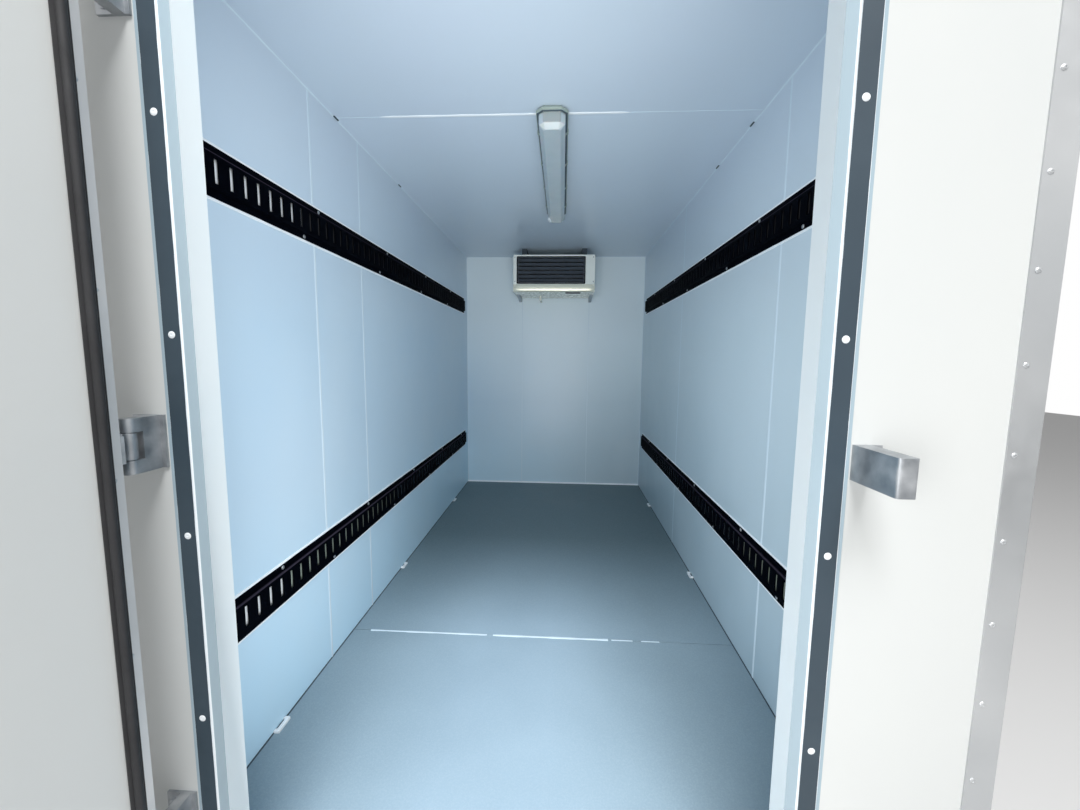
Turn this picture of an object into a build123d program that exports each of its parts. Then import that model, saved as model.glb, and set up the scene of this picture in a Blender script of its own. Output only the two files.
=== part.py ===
# Insulated box body of a small refrigerated trailer, millimetres.
# +X is the right-hand side seen from the door, +Y points forward to the bulkhead, +Z is up.
# The origin lies under the middle of the load space, on the underside of the chassis runners.
import os
from math import cos, radians, sin

from build123d import *

os.makedirs("parts", exist_ok=True)

# Load space, wall to wall and board to ceiling
inner_length = 3200.0
inner_width = 1600.0
inner_height = 2072.0

# Sandwich panels
side_thickness = 60.0
front_thickness = 60.0
rear_thickness = 48.0
roof_thickness = 60.0
floor_thickness = 80.0
board_thickness = 18.0
board_gap = 3.0

# Seams between panels: distances from the bulkhead towards the door, and places across the bulkhead
left_seam_front = 2090.0
left_seam_rear = 2450.0
right_seam_front = 1270.0
right_seam_rear = 2460.0
ceiling_seam = 2270.0
floor_seam = 2277.0
bulkhead_seam_left = -290.0
bulkhead_seam_right = 310.0

# Steel under the floor
runner_height = 80.0
runner_width = 45.0
runner_gauge = 5.0
runner_spacing = 860.0
runner_inset = 70.0
bearer_height = 60.0
bearer_width = 50.0
bearer_foot = 25.0
bearer_gauge = 3.0
bearer_count = 8
bearer_inset = 130.0
bolt_radius = 6.5
bolt_spacing_y = 2300.0

# Doorway in the rear wall, and the frame that lines it
opening_left = -565.0
opening_right = 501.0
header_height = 142.0
frame_gauge = 2.0
frame_flange = 62.0
strip_offset = 22.5
strip_width = 31.0
strip_thickness = 3.0
strip_gap = 1.0
sill_gap = 0.5
sill_lip = 2.0

# Door leaf, its seal and its hinges
leaf_overlap = 60.0
leaf_thickness = 66.0
leaf_drop = 24.0
leaf_skin = 1.5
edge_channel = 22.0
channel_gap = 0.3
seal_depth = 14.0
seal_width = 16.0
seal_rise = 4.0
door_open_angle = 110.0
pin_offset = 25.0
pin_radius = 6.0
pin_clearance = 0.1
knuckle_radius = 11.0
post_gap = 4.0
bracket_plate = 58.0
bracket_shift = 10.0
hinge_height = 96.0
hinge_play = 1.0
hinge_count = 3
hinge_rise = 210.0
hinge_drop = 174.0
strap_length = 150.0
strap_gauge = 5.0

# Latch on the free edge of the leaf
latch_level = 1000.0
latch_inset = 60.0
latch_width = 70.0
latch_height = 150.0
latch_depth = 32.0
latch_corner = 12.0
latch_chamfer = 3.0
lever_length = 190.0
lever_root = 17.0
lever_tip = 10.0
lever_gauge = 12.0
tongue_reach = 45.0
tongue_height = 30.0
tongue_tip = 16.0
tongue_taper = 18.0
tongue_gauge = 8.0
keeper_width = 30.0
keeper_gap = 6.0
keeper_foot = 46.0
keeper_gauge = 4.0
keeper_round = 6.0
release_width = 56.0
release_corner = 10.0
release_plate = 6.0
release_radius = 19.0
release_reach = 34.0
release_inset = 110.0

# Corner profiles and corner caps
trim_leg = 50.0
trim_gauge = 2.5
trim_round = 4.0
cap_size = 60.0
cap_gauge = 5.0
cap_round = 8.0

# Punched lashing rails
rail_length = 3048.0
rail_height = 127.0
rail_crown = 84.0
rail_depth = 12.7
rail_gauge = 2.7
rail_bend = 5.0
rail_upper_level = 1623.5
rail_lower_level = 445.5
rail_end_left_upper = 27.4
rail_end_left_lower = 30.7
rail_end_right_upper = 32.5
rail_end_right_lower = 13.8
slot_pitch = 50.8
slot_width = 13.0
slot_height = 60.0

# Clips let into the edges of the floor boards: distances from the bulkhead towards the door
clip_length = 58.0
clip_width = 18.0
clip_height = 9.0
clip_ear = 10.0
clip_slot = 6.0
clip_gap = 0.5
clip_chamfer = 2.0
clip_front = 560.0
clip_middle = 1700.0
clip_rear = 2770.0

# Ceiling lamp
lamp_length = 1140.0
lamp_width = 118.0
lamp_base_height = 22.0
lamp_cover_height = 54.0
lamp_side_rim = 10.0
lamp_end_rim = 5.0
lamp_corner = 24.0
lamp_cover_corner = 18.0
lamp_base_chamfer = 10.0
lamp_cover_chamfer = 18.0
lamp_x = 30.0
lamp_near = 2335.0

# Evaporator under the ceiling
evaporator_width = 660.0
evaporator_height = 232.0
evaporator_depth = 380.0
evaporator_drop = 72.0
casing_gauge = 3.0
casing_round = 1.5
groove_inner = 272.0
groove_outer = 300.0
groove_width = 4.0
groove_depth = 1.2
outlet_width = 550.0
outlet_height = 210.0
outlet_left = 30.0
outlet_top = 15.0
outlet_clearance = 0.3
outlet_rim = 9.0
outlet_depth = 34.0
outlet_recess = 3.0
outlet_bite = 2.0
louvre_count = 6
louvre_chord = 30.0
louvre_gauge = 2.0
louvre_angle = -38.0
coil_setback = 150.0
coil_thickness = 120.0
coil_side = 20.0
tray_height = 60.0
tray_reach = 2.0
tray_slope = 14.0
hanger_place = 250.0
hanger_width = 40.0
hanger_inset = 90.0
drain_x = -120.0
drain_reach = 150.0
drain_drop = 34.0
drain_radius = 9.0
bracket_left = -305.0
bracket_right = 315.0
bracket_width = 25.0
bracket_reach = 220.0
bracket_drop = 36.0
bracket_gauge = 4.0

# Condensing unit on the outside of the bulkhead
unit_width = 780.0
unit_height = 440.0
unit_depth = 330.0
unit_drop = 112.0
unit_gauge = 3.0
unit_corner = 10.0
unit_coil_thickness = 50.0
unit_bracket_inset = 60.0
unit_bracket_gauge = 4.0
unit_bracket_flange = 40.0
unit_bracket_nose = 20.0
unit_bracket_drop = 240.0
vent_x = 220.0
vent_width = 230.0
vent_height = 14.0
vent_pitch = 34.0
vent_count = 9
compressor_radius = 95.0
compressor_height = 270.0

# Condenser fan
fan_x = -170.0
fan_radius = 150.0
fan_gap = 12.0
bell_depth = 70.0
hub_radius = 42.0
hub_length = 46.0
shaft_radius = 6.0
shaft_reach = 34.0
rotor_gap = 6.0
motor_radius = 48.0
blade_count = 5
blade_bite = 6.0
blade_angle = 28.0
blade_chord = 92.0
blade_flat = 34.0
blade_camber = 9.0
blade_gauge = 3.0
guard_wire = 4.0
guard_rings = 4

# Levels and planes that follow from the sizes above
bearer_z = runner_height
core_z = bearer_z + bearer_height
core_top = core_z + floor_thickness
floor_z = core_top + board_thickness
ceiling_z = floor_z + inner_height
roof_top = ceiling_z + roof_thickness
half_width = inner_width / 2
outer_x = half_width + side_thickness
bulkhead_y = inner_length / 2
rear_y = -inner_length / 2
front_outer = bulkhead_y + front_thickness
rear_outer = rear_y - rear_thickness
frame_face = rear_outer - frame_gauge
head_z = ceiling_z - header_height


def save(piece, name):
    """Label a finished sub-part and write it to its own file."""
    piece.part.label = name
    export_step(piece.part, f"parts/{name}.step")


def slab(name, x_range, y_range, z_range):
    """A flat panel between two limits on each axis."""
    x_low, x_high = x_range
    y_low, y_high = y_range
    z_low, z_high = z_range
    with BuildPart() as panel:
        with BuildSketch(Plane.XY.offset(z_low)):
            with Locations(((x_low + x_high) / 2, (y_low + y_high) / 2)):
                Rectangle(x_high - x_low, y_high - y_low)
        extrude(amount=z_high - z_low)
    save(panel, name)


def from_bulkhead(distance):
    """Turn a distance from the bulkhead towards the door into a place along Y."""
    return bulkhead_y - distance


# Floor: insulated core under the whole body, and two boards between the walls
slab("floor_core", (-outer_x, outer_x), (rear_outer, front_outer), (core_z, core_top))
seam_y = from_bulkhead(floor_seam)
board_x = half_width - board_gap
clip_rows = [
    (side, from_bulkhead(distance))
    for side in (-1, 1)
    for distance in (clip_front, clip_middle, clip_rear)
]
clip_spots = [(side * (half_width - clip_width / 2), y_mid) for side, y_mid in clip_rows]
board_rows = [
    ("floor_board_front", seam_y + board_gap / 2, bulkhead_y - board_gap),
    ("floor_board_rear", rear_y + board_gap, seam_y - board_gap / 2),
]
for name, y_low, y_high in board_rows:
    with BuildPart() as floor_board:
        with BuildSketch(Plane.XY.offset(core_top)):
            with Locations((0, (y_low + y_high) / 2)):
                Rectangle(2 * board_x, y_high - y_low)
            # Notches for the clips
            with Locations(clip_spots):
                Rectangle(clip_width + 2 * clip_gap, clip_length + 2 * clip_gap, mode=Mode.SUBTRACT)
        extrude(amount=board_thickness)
    save(floor_board, name)

# Floor clips: flat bars with two ears against the wall, seated on the core in the notches
with BuildPart() as floor_clips:
    for side, y_mid in clip_rows:
        with BuildSketch(Plane.XY.offset(core_top)):
            with Locations((side * (half_width - clip_width / 2), y_mid)):
                Rectangle(clip_width, clip_length)
            with Locations((side * (half_width - clip_slot / 2), y_mid)):
                Rectangle(clip_slot, clip_length - 2 * clip_ear, mode=Mode.SUBTRACT)
        extrude(amount=board_thickness + clip_height)
    chamfer(floor_clips.faces().group_by(Axis.Z)[-1].edges(), clip_chamfer)
save(floor_clips, "floor_clips")

# Side walls: each row is the panel's name, its front end and its rear end along Y
left_panels = [
    ("wall_left_front", front_outer, from_bulkhead(left_seam_front)),
    ("wall_left_middle", from_bulkhead(left_seam_front), from_bulkhead(left_seam_rear)),
    ("wall_left_rear", from_bulkhead(left_seam_rear), rear_outer),
]
right_panels = [
    ("wall_right_front", front_outer, from_bulkhead(right_seam_front)),
    ("wall_right_middle", from_bulkhead(right_seam_front), from_bulkhead(right_seam_rear)),
    ("wall_right_rear", from_bulkhead(right_seam_rear), rear_outer),
]
for name, y_front, y_back in left_panels:
    slab(name, (-outer_x, -half_width), (y_back, y_front), (core_top, ceiling_z))
for name, y_front, y_back in right_panels:
    slab(name, (half_width, outer_x), (y_back, y_front), (core_top, ceiling_z))

# Roof: two panels over the whole body
roof_seam_y = from_bulkhead(ceiling_seam)
slab("roof_front", (-outer_x, outer_x), (roof_seam_y, front_outer), (ceiling_z, roof_top))
slab("roof_rear", (-outer_x, outer_x), (rear_outer, roof_seam_y), (ceiling_z, roof_top))

# Bulkhead: three upright panels between the side walls
bulkhead_panels = [
    ("bulkhead_left", -half_width, bulkhead_seam_left),
    ("bulkhead_middle", bulkhead_seam_left, bulkhead_seam_right),
    ("bulkhead_right", bulkhead_seam_right, half_width),
]
for name, x_low, x_high in bulkhead_panels:
    slab(name, (x_low, x_high), (bulkhead_y, front_outer), (core_top, ceiling_z))

# Rear wall: a narrow panel on each side of the doorway and a header above it
lined_left = opening_left - frame_gauge
lined_right = opening_right + frame_gauge
lined_head = head_z + frame_gauge
slab("rear_wall_left", (-half_width, lined_left), (rear_outer, rear_y), (core_top, ceiling_z))
slab("rear_wall_right", (lined_right, half_width), (rear_outer, rear_y), (core_top, ceiling_z))
slab("rear_header", (lined_left, lined_right), (rear_outer, rear_y), (lined_head, ceiling_z))

# Door frame: a lining through the wall with a flange that lies on the outer skin
jamb_rows = [
    ("frame_jamb_left", opening_left, -1),
    ("frame_jamb_right", opening_right, 1),
]
for name, x_edge, side in jamb_rows:
    with BuildPart() as jamb:
        with BuildSketch(Plane.XY.offset(core_top)):
            with BuildLine():
                Polyline(
                    (x_edge, rear_y),
                    (x_edge, frame_face),
                    (x_edge + side * frame_flange, frame_face),
                    (x_edge + side * frame_flange, rear_outer),
                    (x_edge + side * frame_gauge, rear_outer),
                    (x_edge + side * frame_gauge, rear_y),
                    close=True,
                )
            make_face()
        extrude(amount=head_z - core_top)
    save(jamb, name)

with BuildPart() as frame_head:
    # The lining runs between the jambs, and the flange runs on over them
    with BuildSketch(Plane.XY.offset(head_z)):
        with Locations(((opening_left + opening_right) / 2, (rear_y + frame_face) / 2)):
            Rectangle(lined_right - lined_left, rear_y - frame_face)
    extrude(amount=frame_gauge)
    with BuildSketch(Plane.XY.offset(head_z)):
        with Locations(((opening_left + opening_right) / 2, (rear_outer + frame_face) / 2)):
            Rectangle(opening_right - opening_left + 2 * frame_flange, frame_gauge)
    extrude(amount=frame_flange)
save(frame_head, "frame_head")

# Sill: a tread plate over the end of the core, turned down over the rear face
sill_low = core_z + trim_leg + sill_gap
with BuildPart() as door_sill:
    with BuildSketch(Plane.YZ.offset(opening_left)):
        with BuildLine():
            Polyline(
                (rear_y + board_gap - sill_gap, core_top),
                (rear_y + board_gap - sill_gap, floor_z),
                (rear_outer - sill_lip, floor_z),
                (rear_outer - sill_lip, sill_low),
                (rear_outer, sill_low),
                (rear_outer, core_top),
                close=True,
            )
        make_face()
    extrude(amount=opening_right - opening_left)
save(door_sill, "door_sill")

# Sealing strip: three dark flat bars riveted to the flange
strip_low = floor_z + strip_gap
strip_head = head_z + strip_offset
strip_span = opening_right - opening_left + 2 * (strip_offset + strip_width)
strip_y = frame_face - strip_thickness / 2
with BuildPart() as seal_strips:
    for x_low in (opening_left - strip_offset - strip_width, opening_right + strip_offset):
        with BuildSketch(Plane.XY.offset(strip_low)):
            with Locations((x_low + strip_width / 2, strip_y)):
                Rectangle(strip_width, strip_thickness)
        extrude(amount=strip_head - strip_gap - strip_low)
    with BuildSketch(Plane.XY.offset(strip_head)):
        with Locations(((opening_left + opening_right) / 2, strip_y)):
            Rectangle(strip_span, strip_thickness)
    extrude(amount=strip_width)
save(seal_strips, "seal_strips")

# Chassis runners: channels whose open side looks inward, drilled for the chassis bolts
runner_length = front_outer - rear_outer - 2 * runner_inset
runner_start = rear_outer + runner_inset
for name, side in [("runner_left", -1), ("runner_right", 1)]:
    web_x = side * (runner_spacing + runner_width) / 2
    toe_x = side * (runner_spacing - runner_width) / 2
    web_inner = web_x - side * runner_gauge
    with BuildPart() as runner:
        with BuildSketch(Plane.XZ.offset(-runner_start)):
            with BuildLine():
                Polyline(
                    (web_x, 0),
                    (web_x, runner_height),
                    (toe_x, runner_height),
                    (toe_x, runner_height - runner_gauge),
                    (web_inner, runner_height - runner_gauge),
                    (web_inner, runner_gauge),
                    (toe_x, runner_gauge),
                    (toe_x, 0),
                    close=True,
                )
            make_face()
        extrude(amount=-runner_length)
        with BuildSketch(Plane.XY):
            with Locations((side * runner_spacing / 2, 0)):
                with GridLocations(1, bolt_spacing_y, 1, 2):
                    Circle(bolt_radius)
        extrude(amount=runner_gauge, mode=Mode.SUBTRACT)
    save(runner, name)

# Cross bearers: top-hat sections across the body, their flanges against the core
bearer_span = 2 * (outer_x - cap_size)
bearer_start = rear_outer + bearer_inset
bearer_pitch = (front_outer - rear_outer - 2 * bearer_inset) / (bearer_count - 1)
hat_side = bearer_width / 2
hat_bore = hat_side - bearer_gauge
hat_foot = core_z - bearer_gauge
with BuildPart() as cross_bearers:
    for index in range(bearer_count):
        y_mid = bearer_start + index * bearer_pitch
        with BuildSketch(Plane.YZ.offset(-bearer_span / 2)):
            with BuildLine():
                Polyline(
                    (y_mid - hat_side, bearer_z),
                    (y_mid + hat_side, bearer_z),
                    (y_mid + hat_side, hat_foot),
                    (y_mid + hat_side + bearer_foot, hat_foot),
                    (y_mid + hat_side + bearer_foot, core_z),
                    (y_mid + hat_bore, core_z),
                    (y_mid + hat_bore, bearer_z + bearer_gauge),
                    (y_mid - hat_bore, bearer_z + bearer_gauge),
                    (y_mid - hat_bore, core_z),
                    (y_mid - hat_side - bearer_foot, core_z),
                    (y_mid - hat_side - bearer_foot, hat_foot),
                    (y_mid - hat_side, hat_foot),
                    close=True,
                )
            make_face()
        extrude(amount=bearer_span)
save(cross_bearers, "cross_bearers")


def angle_face(plane):
    """Section of a corner angle: the plane's origin is the outer corner, its X and Y run along the legs."""
    with BuildSketch(plane) as outline:
        with BuildLine():
            Polyline(
                (0, 0),
                (trim_leg + trim_gauge, 0),
                (trim_leg + trim_gauge, trim_gauge),
                (trim_gauge, trim_gauge),
                (trim_gauge, trim_leg + trim_gauge),
                (0, trim_leg + trim_gauge),
                close=True,
            )
        make_face()
        corner = outline.vertices().sort_by_distance((0, 0, 0))[0]
        fillet(corner, trim_round)
    return outline.sketch


# Corner profiles: angles along the twelve outer edges, between the corner caps
trim_x = outer_x + trim_gauge
trim_front = front_outer + trim_gauge
trim_rear = rear_outer - trim_gauge
trim_top = roof_top + trim_gauge
trim_base = core_z - trim_gauge
middle_y = (front_outer + rear_outer) / 2
middle_z = (roof_top + core_z) / 2
post_run = roof_top - core_z - 2 * cap_size
side_run = front_outer - rear_outer - 2 * cap_size
end_run = 2 * (outer_x - cap_size)

with BuildPart() as corner_posts:
    for side_x in (-1, 1):
        for y_corner, side_y in ((trim_rear, -1), (trim_front, 1)):
            corner_plane = Plane(
                origin=(side_x * trim_x, y_corner, middle_z),
                x_dir=(-side_x, 0, 0),
                z_dir=(0, 0, side_x * side_y),
            )
            extrude(angle_face(corner_plane), amount=post_run / 2, both=True)
save(corner_posts, "corner_posts")

edge_rows = [
    ("roof_edge_profiles", trim_top, 1),
    ("floor_edge_profiles", trim_base, -1),
]
for name, z_corner, side_z in edge_rows:
    with BuildPart() as edge_profiles:
        for side_x in (-1, 1):
            edge_plane = Plane(
                origin=(side_x * trim_x, middle_y, z_corner),
                x_dir=(-side_x, 0, 0),
                z_dir=(0, -side_x * side_z, 0),
            )
            extrude(angle_face(edge_plane), amount=side_run / 2, both=True)
        for y_corner, side_y in ((trim_rear, -1), (trim_front, 1)):
            edge_plane = Plane(
                origin=(0, y_corner, z_corner),
                x_dir=(0, -side_y, 0),
                z_dir=(side_y * side_z, 0, 0),
            )
            extrude(angle_face(edge_plane), amount=end_run / 2, both=True)
    save(edge_profiles, name)

# Corner caps: three-sided shells that close the eight corners
with BuildPart() as corner_caps:
    for side_x in (-1, 1):
        for y_face, side_y in ((rear_outer, -1), (front_outer, 1)):
            for z_face, side_z in ((core_z, -1), (roof_top, 1)):
                with BuildPart(mode=Mode.PRIVATE) as cap:
                    with Locations(
                        (
                            side_x * (outer_x + (cap_gauge - cap_size) / 2),
                            y_face + side_y * (cap_gauge - cap_size) / 2,
                            z_face + side_z * (cap_gauge - cap_size) / 2,
                        )
                    ):
                        Box(cap_size + cap_gauge, cap_size + cap_gauge, cap_size + cap_gauge)
                    outer_corner = (
                        side_x * (outer_x + cap_gauge),
                        y_face + side_y * cap_gauge,
                        z_face + side_z * cap_gauge,
                    )
                    nearest = cap.edges().sort_by_distance(outer_corner)[0:3]
                    chamfer(nearest, cap_round)
                    with Locations(
                        (
                            side_x * (outer_x - cap_size / 2),
                            y_face - side_y * cap_size / 2,
                            z_face - side_z * cap_size / 2,
                        )
                    ):
                        Box(cap_size, cap_size, cap_size, mode=Mode.SUBTRACT)
                add(cap.part)
save(corner_caps, "corner_caps")


def make_rail(name, side, middle, near_end):
    """A punched lashing rail on a side wall, its slots counted from the end by the door."""
    foot = (rail_height - rail_crown) / 2
    wall_x = side * half_width
    flange_x = wall_x - side * rail_gauge
    crown_x = wall_x - side * rail_depth
    crown_back = crown_x + side * rail_gauge
    low = middle - rail_height / 2
    high = middle + rail_height / 2
    with BuildPart() as rail:
        with BuildSketch(Plane.XZ.offset(-near_end)):
            with BuildLine():
                Polyline(
                    (wall_x, low),
                    (flange_x, low),
                    (flange_x, low + foot - rail_bend),
                    (crown_x, low + foot),
                    (crown_x, high - foot),
                    (flange_x, high - foot + rail_bend),
                    (flange_x, high),
                    (wall_x, high),
                    (wall_x, high - foot + rail_bend),
                    (crown_back, high - foot - rail_gauge / 2),
                    (crown_back, low + foot + rail_gauge / 2),
                    (wall_x, low + foot - rail_bend),
                    close=True,
                )
            make_face()
        extrude(amount=-rail_length)
        slot_count = int(rail_length // slot_pitch)
        with BuildSketch(Plane.YZ.offset(wall_x)):
            with Locations((near_end + rail_length / 2, middle)):
                with GridLocations(slot_pitch, 1, slot_count, 1):
                    Rectangle(slot_width, slot_height)
        extrude(amount=-side * 2 * rail_depth, mode=Mode.SUBTRACT)
    save(rail, name)


# Rails: each row is the name, the wall, the height of its middle and its near end along Y
rail_rows = [
    ("rail_left_upper", -1, floor_z + rail_upper_level, rear_y + rail_end_left_upper),
    ("rail_left_lower", -1, floor_z + rail_lower_level, rear_y + rail_end_left_lower),
    ("rail_right_upper", 1, floor_z + rail_upper_level, rear_y + rail_end_right_upper),
    ("rail_right_lower", 1, floor_z + rail_lower_level, rear_y + rail_end_right_lower),
]
for name, side, middle, near_end in rail_rows:
    make_rail(name, side, middle, near_end)

# Ceiling lamp: a moulded base and a cover whose lower edges are cut at an angle
lamp_y = from_bulkhead(lamp_near) + lamp_length / 2
lamp_base_z = ceiling_z - lamp_base_height
with BuildPart() as lamp_base:
    with BuildSketch(Plane.XY.offset(lamp_base_z)) as outline:
        with Locations((lamp_x, lamp_y)):
            Rectangle(lamp_width, lamp_length)
        chamfer(outline.vertices(), lamp_corner)
    extrude(amount=lamp_base_height)
    chamfer(lamp_base.faces().sort_by(Axis.Z)[-1].edges(), lamp_base_chamfer)
save(lamp_base, "lamp_base")

lamp_cover_width = lamp_width - 2 * lamp_side_rim
lamp_cover_length = lamp_length - 2 * lamp_end_rim
with BuildPart() as lamp_cover:
    with BuildSketch(Plane.XY.offset(lamp_base_z)) as outline:
        with Locations((lamp_x, lamp_y)):
            Rectangle(lamp_cover_width, lamp_cover_length)
        chamfer(outline.vertices(), lamp_cover_corner)
    extrude(amount=-lamp_cover_height)
    chamfer(lamp_cover.faces().sort_by(Axis.Z)[0].edges(), lamp_cover_chamfer)
save(lamp_cover, "lamp_cover")

# Evaporator: sheet casing under the ceiling, open at the back and at the air outlet
casing_top = ceiling_z - evaporator_drop
casing_low = casing_top - evaporator_height
casing_front = bulkhead_y - evaporator_depth
casing_left = -evaporator_width / 2
outlet_x = casing_left + outlet_left + outlet_width / 2
outlet_z = casing_top - outlet_top - outlet_height / 2
casing_middle = (casing_top + casing_low) / 2
with BuildPart() as evap_casing:
    with BuildSketch(Plane.XZ.offset(-casing_front)):
        with Locations((0, casing_middle)):
            Rectangle(evaporator_width, evaporator_height)
    extrude(amount=-evaporator_depth)
    fillet(evap_casing.faces().sort_by(Axis.Y)[0].edges(), casing_round)
    with BuildSketch(Plane.XZ.offset(-casing_front - casing_gauge)):
        with Locations((0, casing_middle)):
            Rectangle(evaporator_width - 2 * casing_gauge, evaporator_height - 2 * casing_gauge)
    extrude(amount=-evaporator_depth, mode=Mode.SUBTRACT)
    with BuildSketch(Plane.XZ.offset(-casing_front)):
        with Locations((outlet_x, outlet_z)):
            Rectangle(outlet_width, outlet_height)
    extrude(amount=-casing_gauge, mode=Mode.SUBTRACT)
    # Folded grooves in the cover plate beside the outlet
    with BuildSketch(Plane.XZ.offset(-casing_front)):
        with Locations((groove_inner, casing_middle), (groove_outer, casing_middle)):
            Rectangle(groove_width, outlet_height)
    extrude(amount=-groove_depth, mode=Mode.SUBTRACT)
save(evap_casing, "evap_casing")

# Air outlet: a dark frame with slanting blades, set into the casing's opening
outlet_frame_width = outlet_width - 2 * outlet_clearance
outlet_frame_height = outlet_height - 2 * outlet_clearance
blade_span = outlet_frame_width - 2 * outlet_rim
blade_pitch = (outlet_frame_height - 2 * outlet_rim) / louvre_count
with BuildPart() as evap_outlet:
    with BuildSketch(Plane.XZ.offset(-casing_front - outlet_recess)):
        with Locations((outlet_x, outlet_z)):
            Rectangle(outlet_frame_width, outlet_frame_height)
            Rectangle(blade_span, outlet_frame_height - 2 * outlet_rim, mode=Mode.SUBTRACT)
    extrude(amount=-outlet_depth)
    blade_y = casing_front + outlet_recess + outlet_depth / 2
    for index in range(louvre_count):
        blade_z = outlet_z + (index - (louvre_count - 1) / 2) * blade_pitch
        blade_plane = Plane(
            origin=(outlet_x - blade_span / 2 - outlet_bite, blade_y, blade_z),
            x_dir=(0, cos(radians(louvre_angle)), sin(radians(louvre_angle))),
            z_dir=(1, 0, 0),
        )
        with BuildSketch(blade_plane):
            Rectangle(louvre_chord, louvre_gauge)
        extrude(amount=blade_span + 2 * outlet_bite)
save(evap_outlet, "evap_outlet")

# Coil: a finned block that stands on the casing's floor behind the outlet
coil_front = casing_front + coil_setback
with BuildPart() as evap_coil:
    with BuildSketch(Plane.XY.offset(casing_low + casing_gauge)):
        with Locations((0, coil_front + coil_thickness / 2)):
            Rectangle(evaporator_width - 2 * casing_gauge - 2 * coil_side, coil_thickness)
    extrude(amount=evaporator_height - 2 * casing_gauge - coil_side)
save(evap_coil, "evap_coil")

# Drip tray: a folded pan under the casing that stands out in front of it
tray_top = casing_low
tray_low = tray_top - tray_height
tray_width = evaporator_width + 2 * tray_reach
tray_depth = evaporator_depth + tray_reach
with BuildPart() as evap_tray:
    with BuildSketch(Plane.XY.offset(tray_low)):
        with Locations((0, bulkhead_y - tray_depth / 2)):
            Rectangle(tray_width, tray_depth)
    extrude(amount=tray_height)
    front_edge = evap_tray.faces().sort_by(Axis.Y)[0].edges().sort_by(Axis.Z)[0]
    chamfer(front_edge, tray_slope)
    with BuildSketch(Plane.XY.offset(tray_low + casing_gauge)):
        with Locations((0, bulkhead_y - tray_depth / 2)):
            Rectangle(tray_width - 2 * casing_gauge, tray_depth - 2 * casing_gauge - 2 * tray_slope)
    extrude(amount=tray_height, mode=Mode.SUBTRACT)
save(evap_tray, "evap_tray")

# Hangers: two channels between the ceiling and the casing
with BuildPart() as evap_hangers:
    for x_mid in (-hanger_place, hanger_place):
        with BuildSketch(Plane.XY.offset(casing_top)):
            with Locations((x_mid, bulkhead_y - evaporator_depth / 2)):
                Rectangle(hanger_width, evaporator_depth - 2 * hanger_inset)
        extrude(amount=evaporator_drop)
save(evap_hangers, "evap_hangers")

# Drain and brackets under the tray, carried by the bulkhead
with BuildPart() as evap_drain:
    with BuildLine(Plane.YZ.offset(drain_x)):
        drain_path = Polyline(
            (bulkhead_y - drain_reach, tray_low),
            (bulkhead_y - drain_reach, tray_low - drain_drop),
            (bulkhead_y, tray_low - drain_drop),
        )
    with BuildSketch(Plane.XY.offset(tray_low)):
        with Locations((drain_x, bulkhead_y - drain_reach)):
            Circle(drain_radius)
    sweep(path=drain_path, transition=Transition.RIGHT)
save(evap_drain, "evap_drain")

with BuildPart() as evap_brackets:
    for x_mid in (bracket_left, bracket_right):
        with BuildSketch(Plane.YZ.offset(x_mid - bracket_width / 2)):
            with BuildLine():
                Polyline(
                    (bulkhead_y, tray_low),
                    (bulkhead_y - bracket_reach, tray_low),
                    (bulkhead_y - bracket_reach, tray_low - bracket_gauge),
                    (bulkhead_y - bracket_gauge, tray_low - bracket_drop),
                    (bulkhead_y, tray_low - bracket_drop),
                    close=True,
                )
            make_face()
        extrude(amount=bracket_width)
save(evap_brackets, "evap_brackets")

# Condensing unit: housing on two brackets on the outside of the bulkhead
unit_top = ceiling_z - unit_drop
unit_low = unit_top - unit_height
unit_middle = (unit_low + unit_top) / 2
unit_back = front_outer + trim_gauge
unit_front = unit_back + unit_depth
fan_opening = fan_radius + fan_gap
with BuildPart() as unit_housing:
    with BuildSketch(Plane.XZ.offset(-unit_back)):
        with Locations((0, unit_middle)):
            Rectangle(unit_width, unit_height)
    extrude(amount=-unit_depth)
    chamfer(unit_housing.edges().filter_by(Axis.Y), unit_corner)
    with BuildSketch(Plane.XZ.offset(-unit_back)):
        with Locations((0, unit_middle)):
            Rectangle(unit_width - 2 * unit_gauge, unit_height - 2 * unit_gauge)
    extrude(amount=-(unit_depth - unit_gauge), mode=Mode.SUBTRACT)
    with BuildSketch(Plane.XZ.offset(-(unit_front - unit_gauge))):
        with Locations((fan_x, unit_middle)):
            Circle(fan_opening)
    extrude(amount=-unit_gauge, mode=Mode.SUBTRACT)
    # Bell mouth behind the round opening
    with BuildSketch(Plane.XZ.offset(-(unit_front - unit_gauge))):
        with Locations((fan_x, unit_middle)):
            Circle(fan_opening + unit_gauge)
            Circle(fan_opening, mode=Mode.SUBTRACT)
    extrude(amount=bell_depth)
    # Louvred vents: rows of slots in the front beside the fan and in both ends
    with BuildSketch(Plane.XZ.offset(-(unit_front - unit_gauge))):
        with Locations((vent_x, unit_middle)):
            with GridLocations(1, vent_pitch, 1, vent_count):
                Rectangle(vent_width, vent_height)
    extrude(amount=-unit_gauge, mode=Mode.SUBTRACT)
    with BuildSketch(Plane.YZ.offset(-unit_width / 2)):
        with Locations(((unit_back + unit_front) / 2, unit_middle)):
            with GridLocations(1, vent_pitch, 1, vent_count):
                Rectangle(vent_width, vent_height)
    extrude(amount=unit_width, mode=Mode.SUBTRACT)
save(unit_housing, "unit_housing")

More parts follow.
